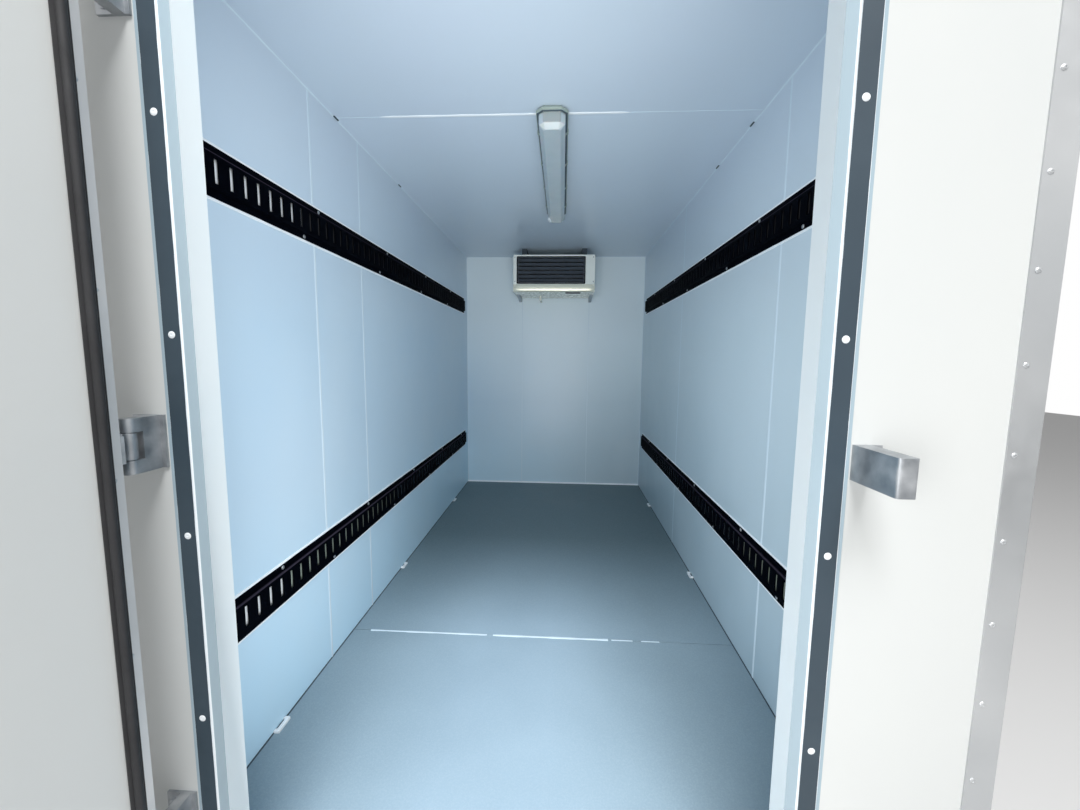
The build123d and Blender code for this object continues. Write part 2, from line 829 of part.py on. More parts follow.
with BuildPart() as unit_brackets:
    for x_mid in (-unit_width / 2 + unit_bracket_inset, unit_width / 2 - unit_bracket_inset):
        with BuildSketch(Plane.YZ.offset(x_mid - unit_bracket_gauge / 2)):
            with BuildLine():
                Polyline(
                    (front_outer, unit_low),
                    (unit_front - unit_bracket_gauge, unit_low),
                    (unit_front - unit_bracket_gauge, unit_low - unit_bracket_nose),
                    (front_outer + unit_bracket_nose, unit_low - unit_bracket_drop),
                    (front_outer, unit_low - unit_bracket_drop),
                    close=True,
                )
            make_face()
        extrude(amount=unit_bracket_gauge)
        with BuildSketch(Plane.XY.offset(unit_low - unit_bracket_gauge)):
            with Locations((x_mid, (front_outer + unit_front - unit_bracket_gauge) / 2)):
                Rectangle(unit_bracket_flange, unit_front - unit_bracket_gauge - front_outer)
        extrude(amount=unit_bracket_gauge)
        with BuildSketch(Plane.XZ.offset(-front_outer)):
            with Locations((x_mid, unit_low - unit_bracket_drop / 2)):
                Rectangle(unit_bracket_flange, unit_bracket_drop)
        extrude(amount=-unit_bracket_gauge)
save(unit_brackets, "unit_brackets")

# Condenser coil against the back of the housing, and the compressor's shell on its floor
with BuildPart() as unit_coil:
    with BuildSketch(Plane.XZ.offset(-unit_back)):
        with Locations((fan_x, unit_middle)):
            Rectangle(2 * fan_opening, unit_height - 2 * unit_gauge)
    extrude(amount=-unit_coil_thickness)
save(unit_coil, "unit_coil")

compressor_y = (unit_back + unit_front) / 2
with BuildPart() as unit_compressor:
    with BuildSketch(Plane.XY.offset(unit_low + unit_gauge)):
        with Locations((vent_x, compressor_y)):
            Circle(compressor_radius)
    extrude(amount=compressor_height)
save(unit_compressor, "unit_compressor")

# Fan motor on the coil, with the shaft that carries the rotor
rotor_back = unit_front - unit_gauge - bell_depth
motor_back = unit_back + unit_coil_thickness
with BuildPart() as fan_motor:
    with BuildSketch(Plane.XZ.offset(-motor_back)):
        with Locations((fan_x, unit_middle)):
            Circle(motor_radius)
    extrude(amount=-(rotor_back - rotor_gap - motor_back))
    with BuildSketch(Plane.XZ.offset(-motor_back)):
        with Locations((fan_x, unit_middle)):
            Circle(shaft_radius)
    extrude(amount=-(rotor_back + shaft_reach - motor_back))
save(fan_motor, "fan_motor")

# Fan rotor: a hub with cambered sheet blades, turned to one radius inside the bell mouth
with BuildPart() as fan_rotor:
    with BuildSketch(Plane.XZ.offset(-rotor_back)):
        with Locations((fan_x, unit_middle)):
            Circle(hub_radius)
    extrude(amount=-hub_length)
    for index in range(blade_count):
        turn = 360 / blade_count * index
        outward = Vector(cos(radians(turn)), 0, sin(radians(turn)))
        across = Vector(-sin(radians(turn)), 0, cos(radians(turn)))
        hub_middle = Vector(fan_x, rotor_back + hub_length / 2, unit_middle)
        blade_plane = Plane(
            origin=hub_middle + outward * (hub_radius - blade_bite),
            x_dir=across * cos(radians(blade_angle)) + Vector(0, 1, 0) * sin(radians(blade_angle)),
            z_dir=outward,
        )
        # Section of a blade: a flat middle with both edges folded back
        with BuildSketch(blade_plane):
            with BuildLine():
                Polyline(
                    (-blade_chord / 2, -blade_camber),
                    (-blade_flat / 2, 0),
                    (blade_flat / 2, 0),
                    (blade_chord / 2, -blade_camber),
                    (blade_chord / 2, -blade_camber - blade_gauge),
                    (blade_flat / 2, -blade_gauge),
                    (-blade_flat / 2, -blade_gauge),
                    (-blade_chord / 2, -blade_camber - blade_gauge),
                    close=True,
                )
            make_face()
        extrude(amount=fan_radius - hub_radius + blade_bite)
    # The blade tips follow one circle, and the edges end flush with the hub
    with BuildSketch(Plane.XZ.offset(-rotor_back)):
        with Locations((fan_x, unit_middle)):
            Circle(fan_radius)
    extrude(amount=-hub_length, mode=Mode.INTERSECT)
    with BuildSketch(Plane.XZ.offset(-rotor_back)):
        with Locations((fan_x, unit_middle)):
            Circle(shaft_radius + pin_clearance)
    extrude(amount=-(shaft_reach + pin_clearance), mode=Mode.SUBTRACT)
save(fan_rotor, "fan_rotor")

# Fan guard: flat rings joined by four spokes on the front of the housing
guard_step = (fan_opening + guard_wire) / guard_rings
with BuildPart() as fan_guard:
    with BuildSketch(Plane.XZ.offset(-unit_front)):
        with Locations((fan_x, unit_middle)):
            for index in range(1, guard_rings + 1):
                Circle(index * guard_step + guard_wire)
                Circle(index * guard_step, mode=Mode.SUBTRACT)
            Rectangle(2 * guard_rings * guard_step + guard_wire, guard_wire)
            Rectangle(guard_wire, 2 * guard_rings * guard_step + guard_wire)
    extrude(amount=-guard_wire)
save(fan_guard, "fan_guard")

# Door: sketched on a plane through the hinge pins, X along the leaf and Y towards the wall when shut
pin_x = opening_left - leaf_overlap - pin_offset
pin_y = frame_face - strip_thickness - seal_depth - leaf_thickness / 2
leaf_width = opening_right - opening_left + 2 * leaf_overlap
leaf_low = floor_z - leaf_drop
leaf_high = head_z + leaf_overlap
leaf_start = pin_offset
leaf_end = pin_offset + leaf_width
leaf_half = leaf_thickness / 2
door_plane = Plane(
    origin=(pin_x, pin_y, 0),
    x_dir=(cos(radians(door_open_angle)), -sin(radians(door_open_angle)), 0),
    z_dir=(0, 0, 1),
)

with BuildPart() as door_panel:
    with BuildSketch(door_plane.offset(leaf_low + leaf_skin)):
        with Locations(((leaf_start + leaf_end) / 2, 0)):
            Rectangle(leaf_width - 2 * leaf_skin, leaf_thickness - 2 * leaf_skin)
    extrude(amount=leaf_high - leaf_low - 2 * leaf_skin)
save(door_panel, "door_panel")

# Edge channels: the two uprights run the full height, the rails lie between them
with BuildPart() as door_edge:
    for x_edge, side in ((leaf_start, 1), (leaf_end, -1)):
        with BuildSketch(door_plane.offset(leaf_low)):
            with BuildLine():
                Polyline(
                    (x_edge, -leaf_half),
                    (x_edge + side * edge_channel, -leaf_half),
                    (x_edge + side * edge_channel, -leaf_half + leaf_skin),
                    (x_edge + side * leaf_skin, -leaf_half + leaf_skin),
                    (x_edge + side * leaf_skin, leaf_half - leaf_skin),
                    (x_edge + side * edge_channel, leaf_half - leaf_skin),
                    (x_edge + side * edge_channel, leaf_half),
                    (x_edge, leaf_half),
                    close=True,
                )
            make_face()
        extrude(amount=leaf_high - leaf_low)
    for z_edge, side in ((leaf_low, 1), (leaf_high, -1)):
        rail_plane = Plane(
            origin=door_plane.from_local_coords((leaf_start + edge_channel + channel_gap, 0, z_edge)),
            x_dir=door_plane.y_dir,
            z_dir=door_plane.x_dir,
        )
        with BuildSketch(rail_plane):
            with BuildLine():
                Polyline(
                    (-leaf_half, 0),
                    (-leaf_half, side * edge_channel),
                    (-leaf_half + leaf_skin, side * edge_channel),
                    (-leaf_half + leaf_skin, side * leaf_skin),
                    (leaf_half - leaf_skin, side * leaf_skin),
                    (leaf_half - leaf_skin, side * edge_channel),
                    (leaf_half, side * edge_channel),
                    (leaf_half, 0),
                    close=True,
                )
            make_face()
        extrude(amount=leaf_width - 2 * edge_channel - 2 * channel_gap)
save(door_edge, "door_edge")

# Seal: four lengths of soft profile on the inner face, in line with the sealing strip
seal_left = leaf_start + leaf_overlap - strip_offset - strip_width / 2
seal_right = leaf_end - leaf_overlap + strip_offset + strip_width / 2
seal_top = strip_head + strip_width / 2
seal_low = leaf_low + seal_rise
with BuildPart() as door_seal:
    for x_mid in (seal_left, seal_right):
        with BuildSketch(door_plane.offset(seal_low)):
            with Locations((x_mid, leaf_half + seal_depth / 2)):
                Rectangle(seal_width, seal_depth)
        extrude(amount=seal_top + seal_width / 2 - seal_low)
    for z_low in (seal_low, seal_top - seal_width / 2):
        with BuildSketch(door_plane.offset(z_low)):
            with Locations(((seal_left + seal_right) / 2, leaf_half + seal_depth / 2)):
                Rectangle(seal_right - seal_left - seal_width - 2 * channel_gap, seal_depth)
        extrude(amount=seal_width)
save(door_seal, "door_seal")

# Hinges: the brackets stand on the rear wall, the straps wrap the edge of the leaf
ear_height = hinge_height / 4
knuckle_low = ear_height + hinge_play
knuckle_height = hinge_height - 2 * knuckle_low
post_face = pin_y + knuckle_radius + post_gap
hinge_first = floor_z + hinge_rise
hinge_pitch = (leaf_high - hinge_drop - hinge_height - hinge_first) / (hinge_count - 1)
hinge_levels = [hinge_first + index * hinge_pitch for index in range(hinge_count)]
with BuildPart() as hinge_brackets:
    for z_low in hinge_levels:
        with BuildSketch(Plane.XY.offset(z_low)):
            with Locations((pin_x - bracket_shift, rear_outer - strap_gauge / 2)):
                Rectangle(bracket_plate, strap_gauge)
            with Locations((pin_x, (rear_outer + post_face) / 2)):
                Rectangle(2 * knuckle_radius, rear_outer - post_face)
        extrude(amount=hinge_height)
        for z_ear in (z_low, z_low + hinge_height - ear_height):
            with BuildSketch(Plane.XY.offset(z_ear)):
                with Locations((pin_x, pin_y)):
                    Circle(knuckle_radius)
                with Locations((pin_x, (pin_y + post_face) / 2)):
                    Rectangle(2 * knuckle_radius, post_face - pin_y)
            extrude(amount=ear_height)
        with BuildSketch(Plane.XY.offset(z_low)):
            with Locations((pin_x, pin_y)):
                Circle(pin_radius)
        extrude(amount=hinge_height)
save(hinge_brackets, "hinge_brackets")

with BuildPart() as hinge_straps:
    for level in hinge_levels:
        with BuildSketch(door_plane.offset(level + knuckle_low)):
            Circle(knuckle_radius)
            with Locations((leaf_start / 2, 0)):
                Rectangle(leaf_start, 2 * strap_gauge)
            with Locations((leaf_start - strap_gauge / 2, -strap_gauge / 2)):
                Rectangle(strap_gauge, leaf_thickness + strap_gauge)
            with Locations((leaf_start + strap_length / 2 - strap_gauge, -leaf_half - strap_gauge / 2)):
                Rectangle(strap_length, strap_gauge)
            Circle(pin_radius + pin_clearance, mode=Mode.SUBTRACT)
        extrude(amount=knuckle_height)
save(hinge_straps, "hinge_straps")

# Latch: a case and lever on the outer face, its tongue over the keeper on the rear wall
latch_z = floor_z + latch_level
latch_x = leaf_end - latch_inset
latch_seat = leaf_skin - leaf_half
latch_case = latch_depth + leaf_skin
outer_face = Plane(
    origin=door_plane.from_local_coords((latch_x, latch_seat, latch_z)),
    x_dir=door_plane.x_dir,
    z_dir=-door_plane.y_dir,
)
with BuildPart() as door_latch:
    with BuildSketch(outer_face) as outline:
        Rectangle(latch_width, latch_height)
        chamfer(outline.vertices(), latch_corner)
    extrude(amount=latch_case)
    chamfer(door_latch.faces().sort_by(Axis(door_plane.origin, outer_face.z_dir))[-1].edges(), latch_chamfer)
    # Lever: it tapers from the spindle to a round tip
    with BuildSketch(outer_face.offset(latch_case)):
        Circle(lever_root)
        with Locations((lever_tip - lever_length, 0)):
            Circle(lever_tip)
        make_hull()
    extrude(amount=lever_gauge)
    # Tongue: a flat bar whose end narrows over the keeper
    tongue_end = latch_inset + tongue_reach
    with BuildSketch(outer_face.offset(latch_case - tongue_gauge)):
        with BuildLine():
            Polyline(
                (0, -tongue_height / 2),
                (tongue_end - tongue_taper, -tongue_height / 2),
                (tongue_end, -tongue_tip / 2),
                (tongue_end, tongue_tip / 2),
                (tongue_end - tongue_taper, tongue_height / 2),
                (0, tongue_height / 2),
                close=True,
            )
        make_face()
    extrude(amount=tongue_gauge)
save(door_latch, "door_latch")

keeper_x = pin_x + leaf_end + keeper_gap
keeper_face = pin_y - leaf_half - latch_depth + tongue_gauge + keeper_gap
with BuildPart() as latch_keeper:
    with BuildSketch(Plane.XY.offset(latch_z - tongue_height)):
        with BuildLine():
            Polyline(
                (keeper_x, rear_outer),
                (keeper_x, keeper_face),
                (keeper_x + keeper_width, keeper_face),
                (keeper_x + keeper_width, rear_outer - keeper_gauge),
                (keeper_x + keeper_foot, rear_outer - keeper_gauge),
                (keeper_x + keeper_foot, rear_outer),
                close=True,
            )
        make_face()
    extrude(amount=2 * tongue_height)
    fillet(latch_keeper.edges().filter_by(Axis.Z).group_by(Axis.Y)[0], keeper_round)
save(latch_keeper, "latch_keeper")

# Inside release: a round push knob on the inner face, in line with the latch
inner_face = Plane(
    origin=door_plane.from_local_coords((latch_x - release_inset, -latch_seat, latch_z)),
    x_dir=-door_plane.x_dir,
    z_dir=door_plane.y_dir,
)
with BuildPart() as inside_release:
    with BuildSketch(inner_face) as outline:
        Rectangle(release_width, release_width)
        chamfer(outline.vertices(), release_corner)
    extrude(amount=release_plate)
    with BuildSketch(inner_face):
        Circle(release_radius)
    extrude(amount=release_reach)
save(inside_release, "inside_release")
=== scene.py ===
# %% [markdown]
# # Insulated box body of a small refrigerated trailer
# The solids come from the CAD model and never move. This script gives each of them a finish, and adds
# what a workshop adds last: sealant, rivets, screws, the lamp's gasket, fins, the door's seal and guards.
# Every length is in metres. +X is the right-hand side seen from the door, +Y points to the bulkhead.

from math import cos, pi, radians, sin

import bpy
import numpy as np
from mathutils import Matrix, Vector


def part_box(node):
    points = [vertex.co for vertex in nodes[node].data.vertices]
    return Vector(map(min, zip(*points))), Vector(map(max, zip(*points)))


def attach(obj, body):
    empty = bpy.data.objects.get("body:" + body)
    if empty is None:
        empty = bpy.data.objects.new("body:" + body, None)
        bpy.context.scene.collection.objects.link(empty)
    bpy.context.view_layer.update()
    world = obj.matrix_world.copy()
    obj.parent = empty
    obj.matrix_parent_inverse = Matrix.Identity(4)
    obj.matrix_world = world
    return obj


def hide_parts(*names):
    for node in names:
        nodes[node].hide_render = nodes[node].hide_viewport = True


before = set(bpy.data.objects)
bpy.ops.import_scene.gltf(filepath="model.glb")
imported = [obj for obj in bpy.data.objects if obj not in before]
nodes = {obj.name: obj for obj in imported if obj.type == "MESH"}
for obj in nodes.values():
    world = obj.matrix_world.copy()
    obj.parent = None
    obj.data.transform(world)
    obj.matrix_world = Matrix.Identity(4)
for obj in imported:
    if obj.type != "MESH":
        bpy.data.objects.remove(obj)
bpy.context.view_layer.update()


# %% [markdown]
# Most new pieces lie on a face of a solid, so the faces are read once from the solids' boxes.
# Reading them is better than typing them again: if a wall gets thicker, its rivets follow.

# %% Faces of the body
def corners(node):
    """Lowest and highest corner of a solid, as two arrays."""
    low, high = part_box(node)
    return np.array(low), np.array(high)


wall_x = corners("wall_right_front")[0][0]
skin_x = corners("wall_right_front")[1][0]
floor_z = corners("floor_board_front")[1][2]
ceiling_z = corners("roof_front")[0][2]
roof_z = corners("roof_front")[1][2]
base_z = corners("floor_core")[0][2]
core_top = corners("floor_core")[1][2]
bulkhead_y = corners("bulkhead_left")[0][1]
front_y = corners("bulkhead_left")[1][1]
rear_y = corners("rear_wall_left")[1][1]
back_y = corners("rear_wall_left")[0][1]
print("load space", 2 * wall_x, bulkhead_y - rear_y, ceiling_z - floor_z)

# %% [markdown]
# The photograph was taken from just outside the doorway with a wide lens. The camera's place and its three
# turns were fitted to the corners of the load space, so they are given here as sizes of that room.

# %% Camera
camera_place = Vector((0.0822, -2.3861, 1.4060))
camera_yaw = 0.0514
camera_pitch = 0.1072
camera_roll = 0.0095
camera_lens = 14.44

look = Vector((-sin(camera_yaw) * cos(camera_pitch), cos(camera_yaw) * cos(camera_pitch), -sin(camera_pitch)))
level = Vector((cos(camera_yaw), sin(camera_yaw), 0))
above = level.cross(look)
right = level * cos(camera_roll) + above * sin(camera_roll)
top = above * cos(camera_roll) - level * sin(camera_roll)
camera_data = bpy.data.cameras.new("camera")
camera_data.lens = camera_lens
camera_data.sensor_width = 36
camera_data.clip_start = 0.02
camera = bpy.data.objects.new("camera", camera_data)
camera.matrix_world = Matrix.Translation(camera_place) @ Matrix((right, top, -look)).transposed().to_4x4()
bpy.context.scene.collection.objects.link(camera)
bpy.context.scene.camera = camera
bpy.context.scene.view_settings.view_transform = "Standard"

# %% Helpers for nodes
def put(socket, value):
    """Give a socket a plain value, or the output of another node of its tree."""
    if isinstance(value, bpy.types.NodeSocket):
        socket.id_data.links.new(value, socket)
    else:
        socket.default_value = value


def add(tree, kind, inputs, **settings):
    """A new node with its settings and inputs, which are values or outputs of other nodes."""
    node = tree.nodes.new("ShaderNode" + kind)
    for name, value in settings.items():
        setattr(node, name, value)
    for socket, value in inputs.items():
        put(node.inputs[socket], value)
    return node


def combine(first, second, operation):
    """An output and a second value, which may be a number, put together by a Math node."""
    return add(first.id_data, "Math", {0: first, 1: second}, operation=operation).outputs[0]


# %% [markdown]
# Daylight comes in through the open door. A white world gives what comes from all round. A large soft lamp
# high behind the camera is the open sky: it lights the outside and falls on the near end of the floor. Two
# lamps stand in the doorway: one spreads its light to the near walls, and one has a narrower beam that
# carries down to the bulkhead. An area lamp shines from one side only, so these two leave the outside
# alone. The last is the light that the open leaf throws back on the right-hand jamb.
# The camera and mirrors see the world at full white, whatever strength it lights the body with.

# %% Light
sky_strength = 0.28
doorway, doorway_size = (-0.032, -1.59, 1.2), (1.0, 1.85)
# Place, target, size (width, height), power in watts and beam in degrees of each lamp
lamps = {
    "high_lamp": ((0.3, -4.6, 6.2), (-0.1, -0.9, 0.3), (3.0, 2.0), 400.0, 180),
    "doorway_wide_lamp": (doorway, (-0.032, 0.0, 1.2), doorway_size, 7.6, 180),
    "doorway_deep_lamp": (doorway, (-0.35, 0.0, 1.35), doorway_size, 6.9, 125),
    "bounce_lamp": ((-0.5, -2.7, 1.0), (0.5, -1.64, 0.9), (0.5, 1.5), 2.2, 70),
}
world = bpy.data.worlds.new("white_surroundings")
bpy.context.scene.world = world
world.use_nodes = True
tree = world.node_tree
tree.nodes.clear()
lit, seen = (
    add(tree, "Background", {"Color": (1, 1, 1, 1), "Strength": strength}).outputs[0]
    for strength in (sky_strength, 1.0)
)
rays = add(tree, "LightPath", {}).outputs
sees_white = combine(rays["Is Camera Ray"], rays["Is Glossy Ray"], "MAXIMUM")
sees_white = combine(sees_white, rays["Is Transmission Ray"], "MAXIMUM")
blend = add(tree, "MixShader", {0: sees_white, 1: lit, 2: seen})
add(tree, "OutputWorld", {"Surface": blend.outputs[0]})

for name, (place, target, size, power, beam) in lamps.items():
    data = bpy.data.lights.new(name, "AREA")
    data.shape = "RECTANGLE"
    data.size, data.size_y = size
    data.energy = power
    data.spread = radians(beam)
    lamp = bpy.data.objects.new(name, data)
    lamp.location = place
    lamp.rotation_euler = (Vector(target) - Vector(place)).to_track_quat("-Z", "Y").to_euler()
    bpy.context.scene.collection.objects.link(lamp)
print(len(lamps), "lamps")

# %% [markdown]
# Finishes are procedural and read Object coordinates, which are the body's own metres, so a pattern keeps
# its real scale and stays put when the door swings. Each one starts from a plain Principled surface whose
# even values sit on its own sockets. Helpers then add what varies: tone, dullness and relief.

# %% Helpers for finishes
def tone(red, green, blue):
    """A colour as it is seen on a screen, 0 to 255, turned to the linear values that shaders use."""
    share = np.array([red, green, blue]) / 255
    linear = np.where(share <= 0.04045, share / 12.92, ((share + 0.055) / 1.055) ** 2.4)
    return (*linear.tolist(), 1.0)


def principled(finish):
    """The inputs of a finish's Principled shader."""
    return finish.node_tree.nodes["Principled BSDF"].inputs


def wire(finish, socket, value):
    """Give one input of the finish's Principled shader a value or an output."""
    put(principled(finish)[socket], value)


def plain(name, color, roughness, metallic=0.0):
    """A Principled material with one colour, roughness and metallic value."""
    finish = bpy.data.materials.new(name)
    finish.use_nodes = True
    for socket, value in (("Base Color", color), ("Roughness", roughness), ("Metallic", metallic)):
        wire(finish, socket, value)
    return finish


def coordinates(finish):
    return add(finish.node_tree, "TexCoord", {}).outputs["Object"]


def noise(finish, size, detail=3.0, stretch=(1, 1, 1)):
    """A noise whose blots are about size metres across, longer along an axis whose stretch is over 1."""
    scale = [1 / (size * share) for share in stretch]
    scaled = add(finish.node_tree, "Mapping", {"Vector": coordinates(finish), "Scale": scale})
    pattern = {"Vector": scaled.outputs["Vector"], "Scale": 1.0, "Detail": detail}
    return add(finish.node_tree, "TexNoise", pattern).outputs["Fac"]


def steps(factor, low, high, start=0.3, end=0.7):
    """Factor, between start and end, turned to values from low to high."""
    ends = {"From Min": start, "From Max": end, "To Min": low, "To Max": high}
    return add(factor.id_data, "MapRange", {"Value": factor, **ends}).outputs["Result"]


def between(factor, first, second):
    """A colour that goes from first to second with factor. The colours of a Mix node are its inputs 6 and
    7, and its output 2."""
    return add(factor.id_data, "Mix", {0: factor, 6: first, 7: second}, data_type="RGBA").outputs[2]


def mottle(pattern, first, second):
    """A colour that wanders between two tones, each three numbers from 0 to 255, with a pattern."""
    return between(steps(pattern, 0, 1), tone(*first), tone(*second))


def place_of(finish, axis):
    """How far a point of the surface lies along X, Y or Z, in the body's own metres."""
    return add(finish.node_tree, "SeparateXYZ", {"Vector": coordinates(finish)}).outputs[axis]


def away(finish, axis, place):
    """How far a point of the surface lies from a place on an axis, either way."""
    return combine(combine(place_of(finish, axis), place, "SUBTRACT"), 0, "ABSOLUTE")


def ramp(finish, axis, start, end, low=0, high=1):
    """A value that goes from low at start to high at end, two places on an axis."""
    return steps(place_of(finish, axis), low, high, start, end)


def by_place(finish, axis, start, end, first, second):
    """A colour that goes from first at start to second at end, two places on an axis."""
    return between(ramp(finish, axis, start, end), first, second)


def relief(finish, factor, depth):
    """Bump of about depth metres from factor, laid over any relief that the finish has already."""
    inputs = {"Strength": 1.0, "Distance": depth, "Height": factor}
    if principled(finish)["Normal"].links:
        inputs["Normal"] = principled(finish)["Normal"].links[0].from_socket
    wire(finish, "Normal", add(finish.node_tree, "Bump", inputs).outputs["Normal"])


def inside_room(finish, margin=0.004):
    """1 inside the load space and 0 outside it: the largest of |x|/a, |y|/b and |z|/c is under 1 there,
    where x, y and z are measured from the middle of the room and a, b and c are half its size."""
    middle = (0, (rear_y + bulkhead_y) / 2, (core_top + ceiling_z) / 2)
    half = (wall_x + margin, (bulkhead_y - rear_y) / 2 + margin, (ceiling_z - core_top) / 2 + margin)
    shares = [
        combine(away(finish, axis, centre), reach, "DIVIDE")
        for axis, centre, reach in zip("XYZ", middle, half)
    ]
    largest = combine(combine(shares[0], shares[1], "MAXIMUM"), shares[2], "MAXIMUM")
    return combine(largest, 1.0, "LESS_THAN")


# %% [markdown]
# The panels have a gelcoat skin. Inside it is a cool blue-white and smooth, outside a neutral white. Both
# wave a little over half a metre, because the foam behind them never cures quite flat, and they dull
# slowly where hands and goods have rubbed.

# %% Panel skins and sealant
def panel_finish():
    """Gelcoat: outside a neutral white, inside a cool one. Inside, its tone goes with the place, as the
    photograph shows it, and this is painted light and shade: the left wall is bluer and brighter low down
    (painted daylight), the right wall greyer low down (painted shade), the ceiling leans to violet
    (painted light colour) and the bulkhead is whiter high up (painted light). It stands in for light
    that these lamps don't give."""
    finish = plain("gelcoat_panel", tone(224, 228, 227), 0.34)
    clouds = noise(finish, 0.45, stretch=(1, 1, 1.6))
    # Painted light and shade: the left wall brighter and bluer low down, the right wall darker low down, the
    # ceiling more violet.
    left = by_place(finish, "Z", floor_z, 1.0, tone(196, 231, 250), tone(193, 217, 234))
    right = by_place(finish, "Z", floor_z, 1.3, tone(166, 189, 201), tone(199, 217, 225))
    walls = by_place(finish, "X", -wall_x, wall_x, left, tone(199, 217, 225))
    walls = by_place(finish, "X", 0, wall_x, walls, right)
    lined = by_place(finish, "Z", 1.5, ceiling_z, walls, tone(208, 221, 234))
    inner = between(steps(clouds, 0, 0.35), lined, tone(210, 225, 234))
    # Painted light: the bulkhead whiter high up.
    on_bulkhead = ramp(finish, "Y", bulkhead_y - 0.003, bulkhead_y - 0.001)
    bulkhead_painted_light = combine(on_bulkhead, ramp(finish, "Z", 1.0, 2.0), "MULTIPLY")
    inner = between(bulkhead_painted_light, inner, tone(232, 245, 250))
    outer = mottle(clouds, (214, 217, 216), (220, 222, 220))
    wire(finish, "Base Color", between(inside_room(finish), outer, inner))
    wire(finish, "Roughness", steps(noise(finish, 0.12), 0.285, 0.34))
    relief(finish, noise(finish, 0.5, detail=1), 0.004)
    relief(finish, noise(finish, 0.002, detail=1), 0.00002)
    return finish


def sealant_finish(name, color):
    """Cured sealant: even in colour, duller where it was wiped, and never quite flat."""
    finish = plain(name, tone(*color), 0.5)
    wire(finish, "Roughness", steps(noise(finish, 0.02), 0.38, 0.6))
    relief(finish, noise(finish, 0.012, detail=2), 0.0003)
    return finish


# %% [markdown]
# The floor boards are grey and faced with a fine non-slip grain. Feet and pallets polish it in broad
# patches, so dullness follows a wide noise, and a finer one gives the speckle of the grain.

# %% Floor
def floor_finish():
    """Grey board: speckled by its grain, and paler and bluer in the middle of the floor from the door to
    just past the joint, as in the photograph: a pool of daylight from the door, painted on."""
    finish = plain("floor_board", tone(116, 136, 143), 0.5)
    # Painted light: a pool of daylight from the door on the middle of the floor, fading to just past the
    # joint.
    along = ramp(finish, "Y", -0.6, 0.35, 1, 0)
    daylight_pool = combine(along, steps(away(finish, "X", -0.1), 1, 0.55, 0.15, 0.6), "MULTIPLY")
    patches = noise(finish, 0.5, detail=5)
    speckle = noise(finish, 0.004, detail=2)
    board_tone = mottle(patches, (97, 116, 122), (106, 125, 131))
    painted_daylight = mottle(patches, (143, 165, 180), (152, 174, 189))
    broad = between(daylight_pool, board_tone, painted_daylight)
    grain = steps(speckle, 0, 0.12, 0.4, 0.8)
    wire(finish, "Base Color", between(grain, broad, tone(200, 214, 220)))
    wire(finish, "Roughness", steps(patches, 0.42, 0.6))
    relief(finish, noise(finish, 0.003, detail=2), 0.00012)
    return finish


# %% [markdown]
# Coated and bare metals: rails in black powder coat, door frame and casings in white, edge profiles in
# anodised alloy, steel below the floor with a zinc bloom. Drawn profiles show fine lines along their
# length, so their noise is stretched that way.

# %% Metals
rail_crown = 0.084


def coating(name, first, second, rough_low, rough_high, sizes, depth):
    """A coating or a plastic: its tone, its dullness and its relief follow noises of three sizes."""
    finish = plain(name, tone(*first), rough_low)
    wire(finish, "Base Color", mottle(noise(finish, sizes[0]), first, second))
    wire(finish, "Roughness", steps(noise(finish, sizes[1]), rough_low, rough_high))
    relief(finish, noise(finish, sizes[2], detail=1), depth)
    return finish


def coated(name, first, second, rough_low, rough_high):
    """Powder coat: two near tones, and the fine ripple that such a coat sets with."""
    return coating(name, first, second, rough_low, rough_high, (0.2, 0.03, 0.0025), 0.00006)


def black_coat():
    """Black powder coat that swallows nearly all light, with a painted highlight: a grey line along
    the rails' upper bends, where a rounded edge would catch the light.
    """
    finish = coated("rail_coat", (2, 3, 8), (4, 6, 12), 0.5, 0.65)
    wire(finish, "Specular IOR Level", 0.01)
    coat = principled(finish)["Base Color"].links[0].from_socket
    on_rail = inside_room(finish)
    for level_name in ("upper", "lower"):
        rail_low, rail_high = corners(f"rail_left_{level_name}")
        bend = (rail_low[2] + rail_high[2]) / 2 + rail_crown / 2
        from_bend = away(finish, "Z", bend)
        # Painted highlight: a grey line along each rail's upper bend, inside the room.
        bend_highlight = combine(steps(from_bend, 0.6, 0, 0.0014, 0.0028), on_rail, "MULTIPLY")
        coat = between(bend_highlight, coat, tone(70, 64, 78))
    wire(finish, "Base Color", coat)
    return finish


def frame_finish():
    """The doorway's lining: white on the reveal, and a darker grey-blue face where it meets the door,
    which is painted shade.
    """
    finish = coated("frame_coat", (244, 252, 254), (248, 254, 255), 0.3, 0.42)
    reveal = principled(finish)["Base Color"].links[0].from_socket
    face_y = corners("frame_jamb_right")[0][1]
    # Painted shade: the face towards the door is darker than the reveal.
    faced = by_place(finish, "Y", face_y + 0.0001, face_y + 0.0004, tone(166, 186, 197), reveal)
    wire(finish, "Base Color", faced)
    return finish


def bare_metal(name, first, second, metallic, rough_low, rough_high, dullness, streaks=None):
    """Metal without a coat. Dullness, and streaks where the tone varies, are a noise's size, detail and
    stretch."""
    finish = plain(name, tone(*first), rough_low, metallic)
    if streaks:
        wire(finish, "Base Color", mottle(noise(finish, *streaks), first, second))
    wire(finish, "Roughness", steps(noise(finish, *dullness), rough_low, rough_high))
    return finish


# %% [markdown]
# Plastics and rubber: the lamp's grey body and opal cover, the cream drip tray, dark louvres, seals. The
# opal cover is a milky plastic: a little light enters it and spreads, which subsurface gives. Polished sheet
# under a cream lacquer, on the tray's front, mirrors the doorway as one bright, soft band.

# %% Plastics and rubber
lamp_slope = 0.018


def moulded(name, first, second, rough_low, rough_high, grain=0.00004):
    """Moulded plastic: two near tones and a faint spark-eroded grain."""
    return coating(name, first, second, rough_low, rough_high, (0.08, 0.02, 0.0012), grain)


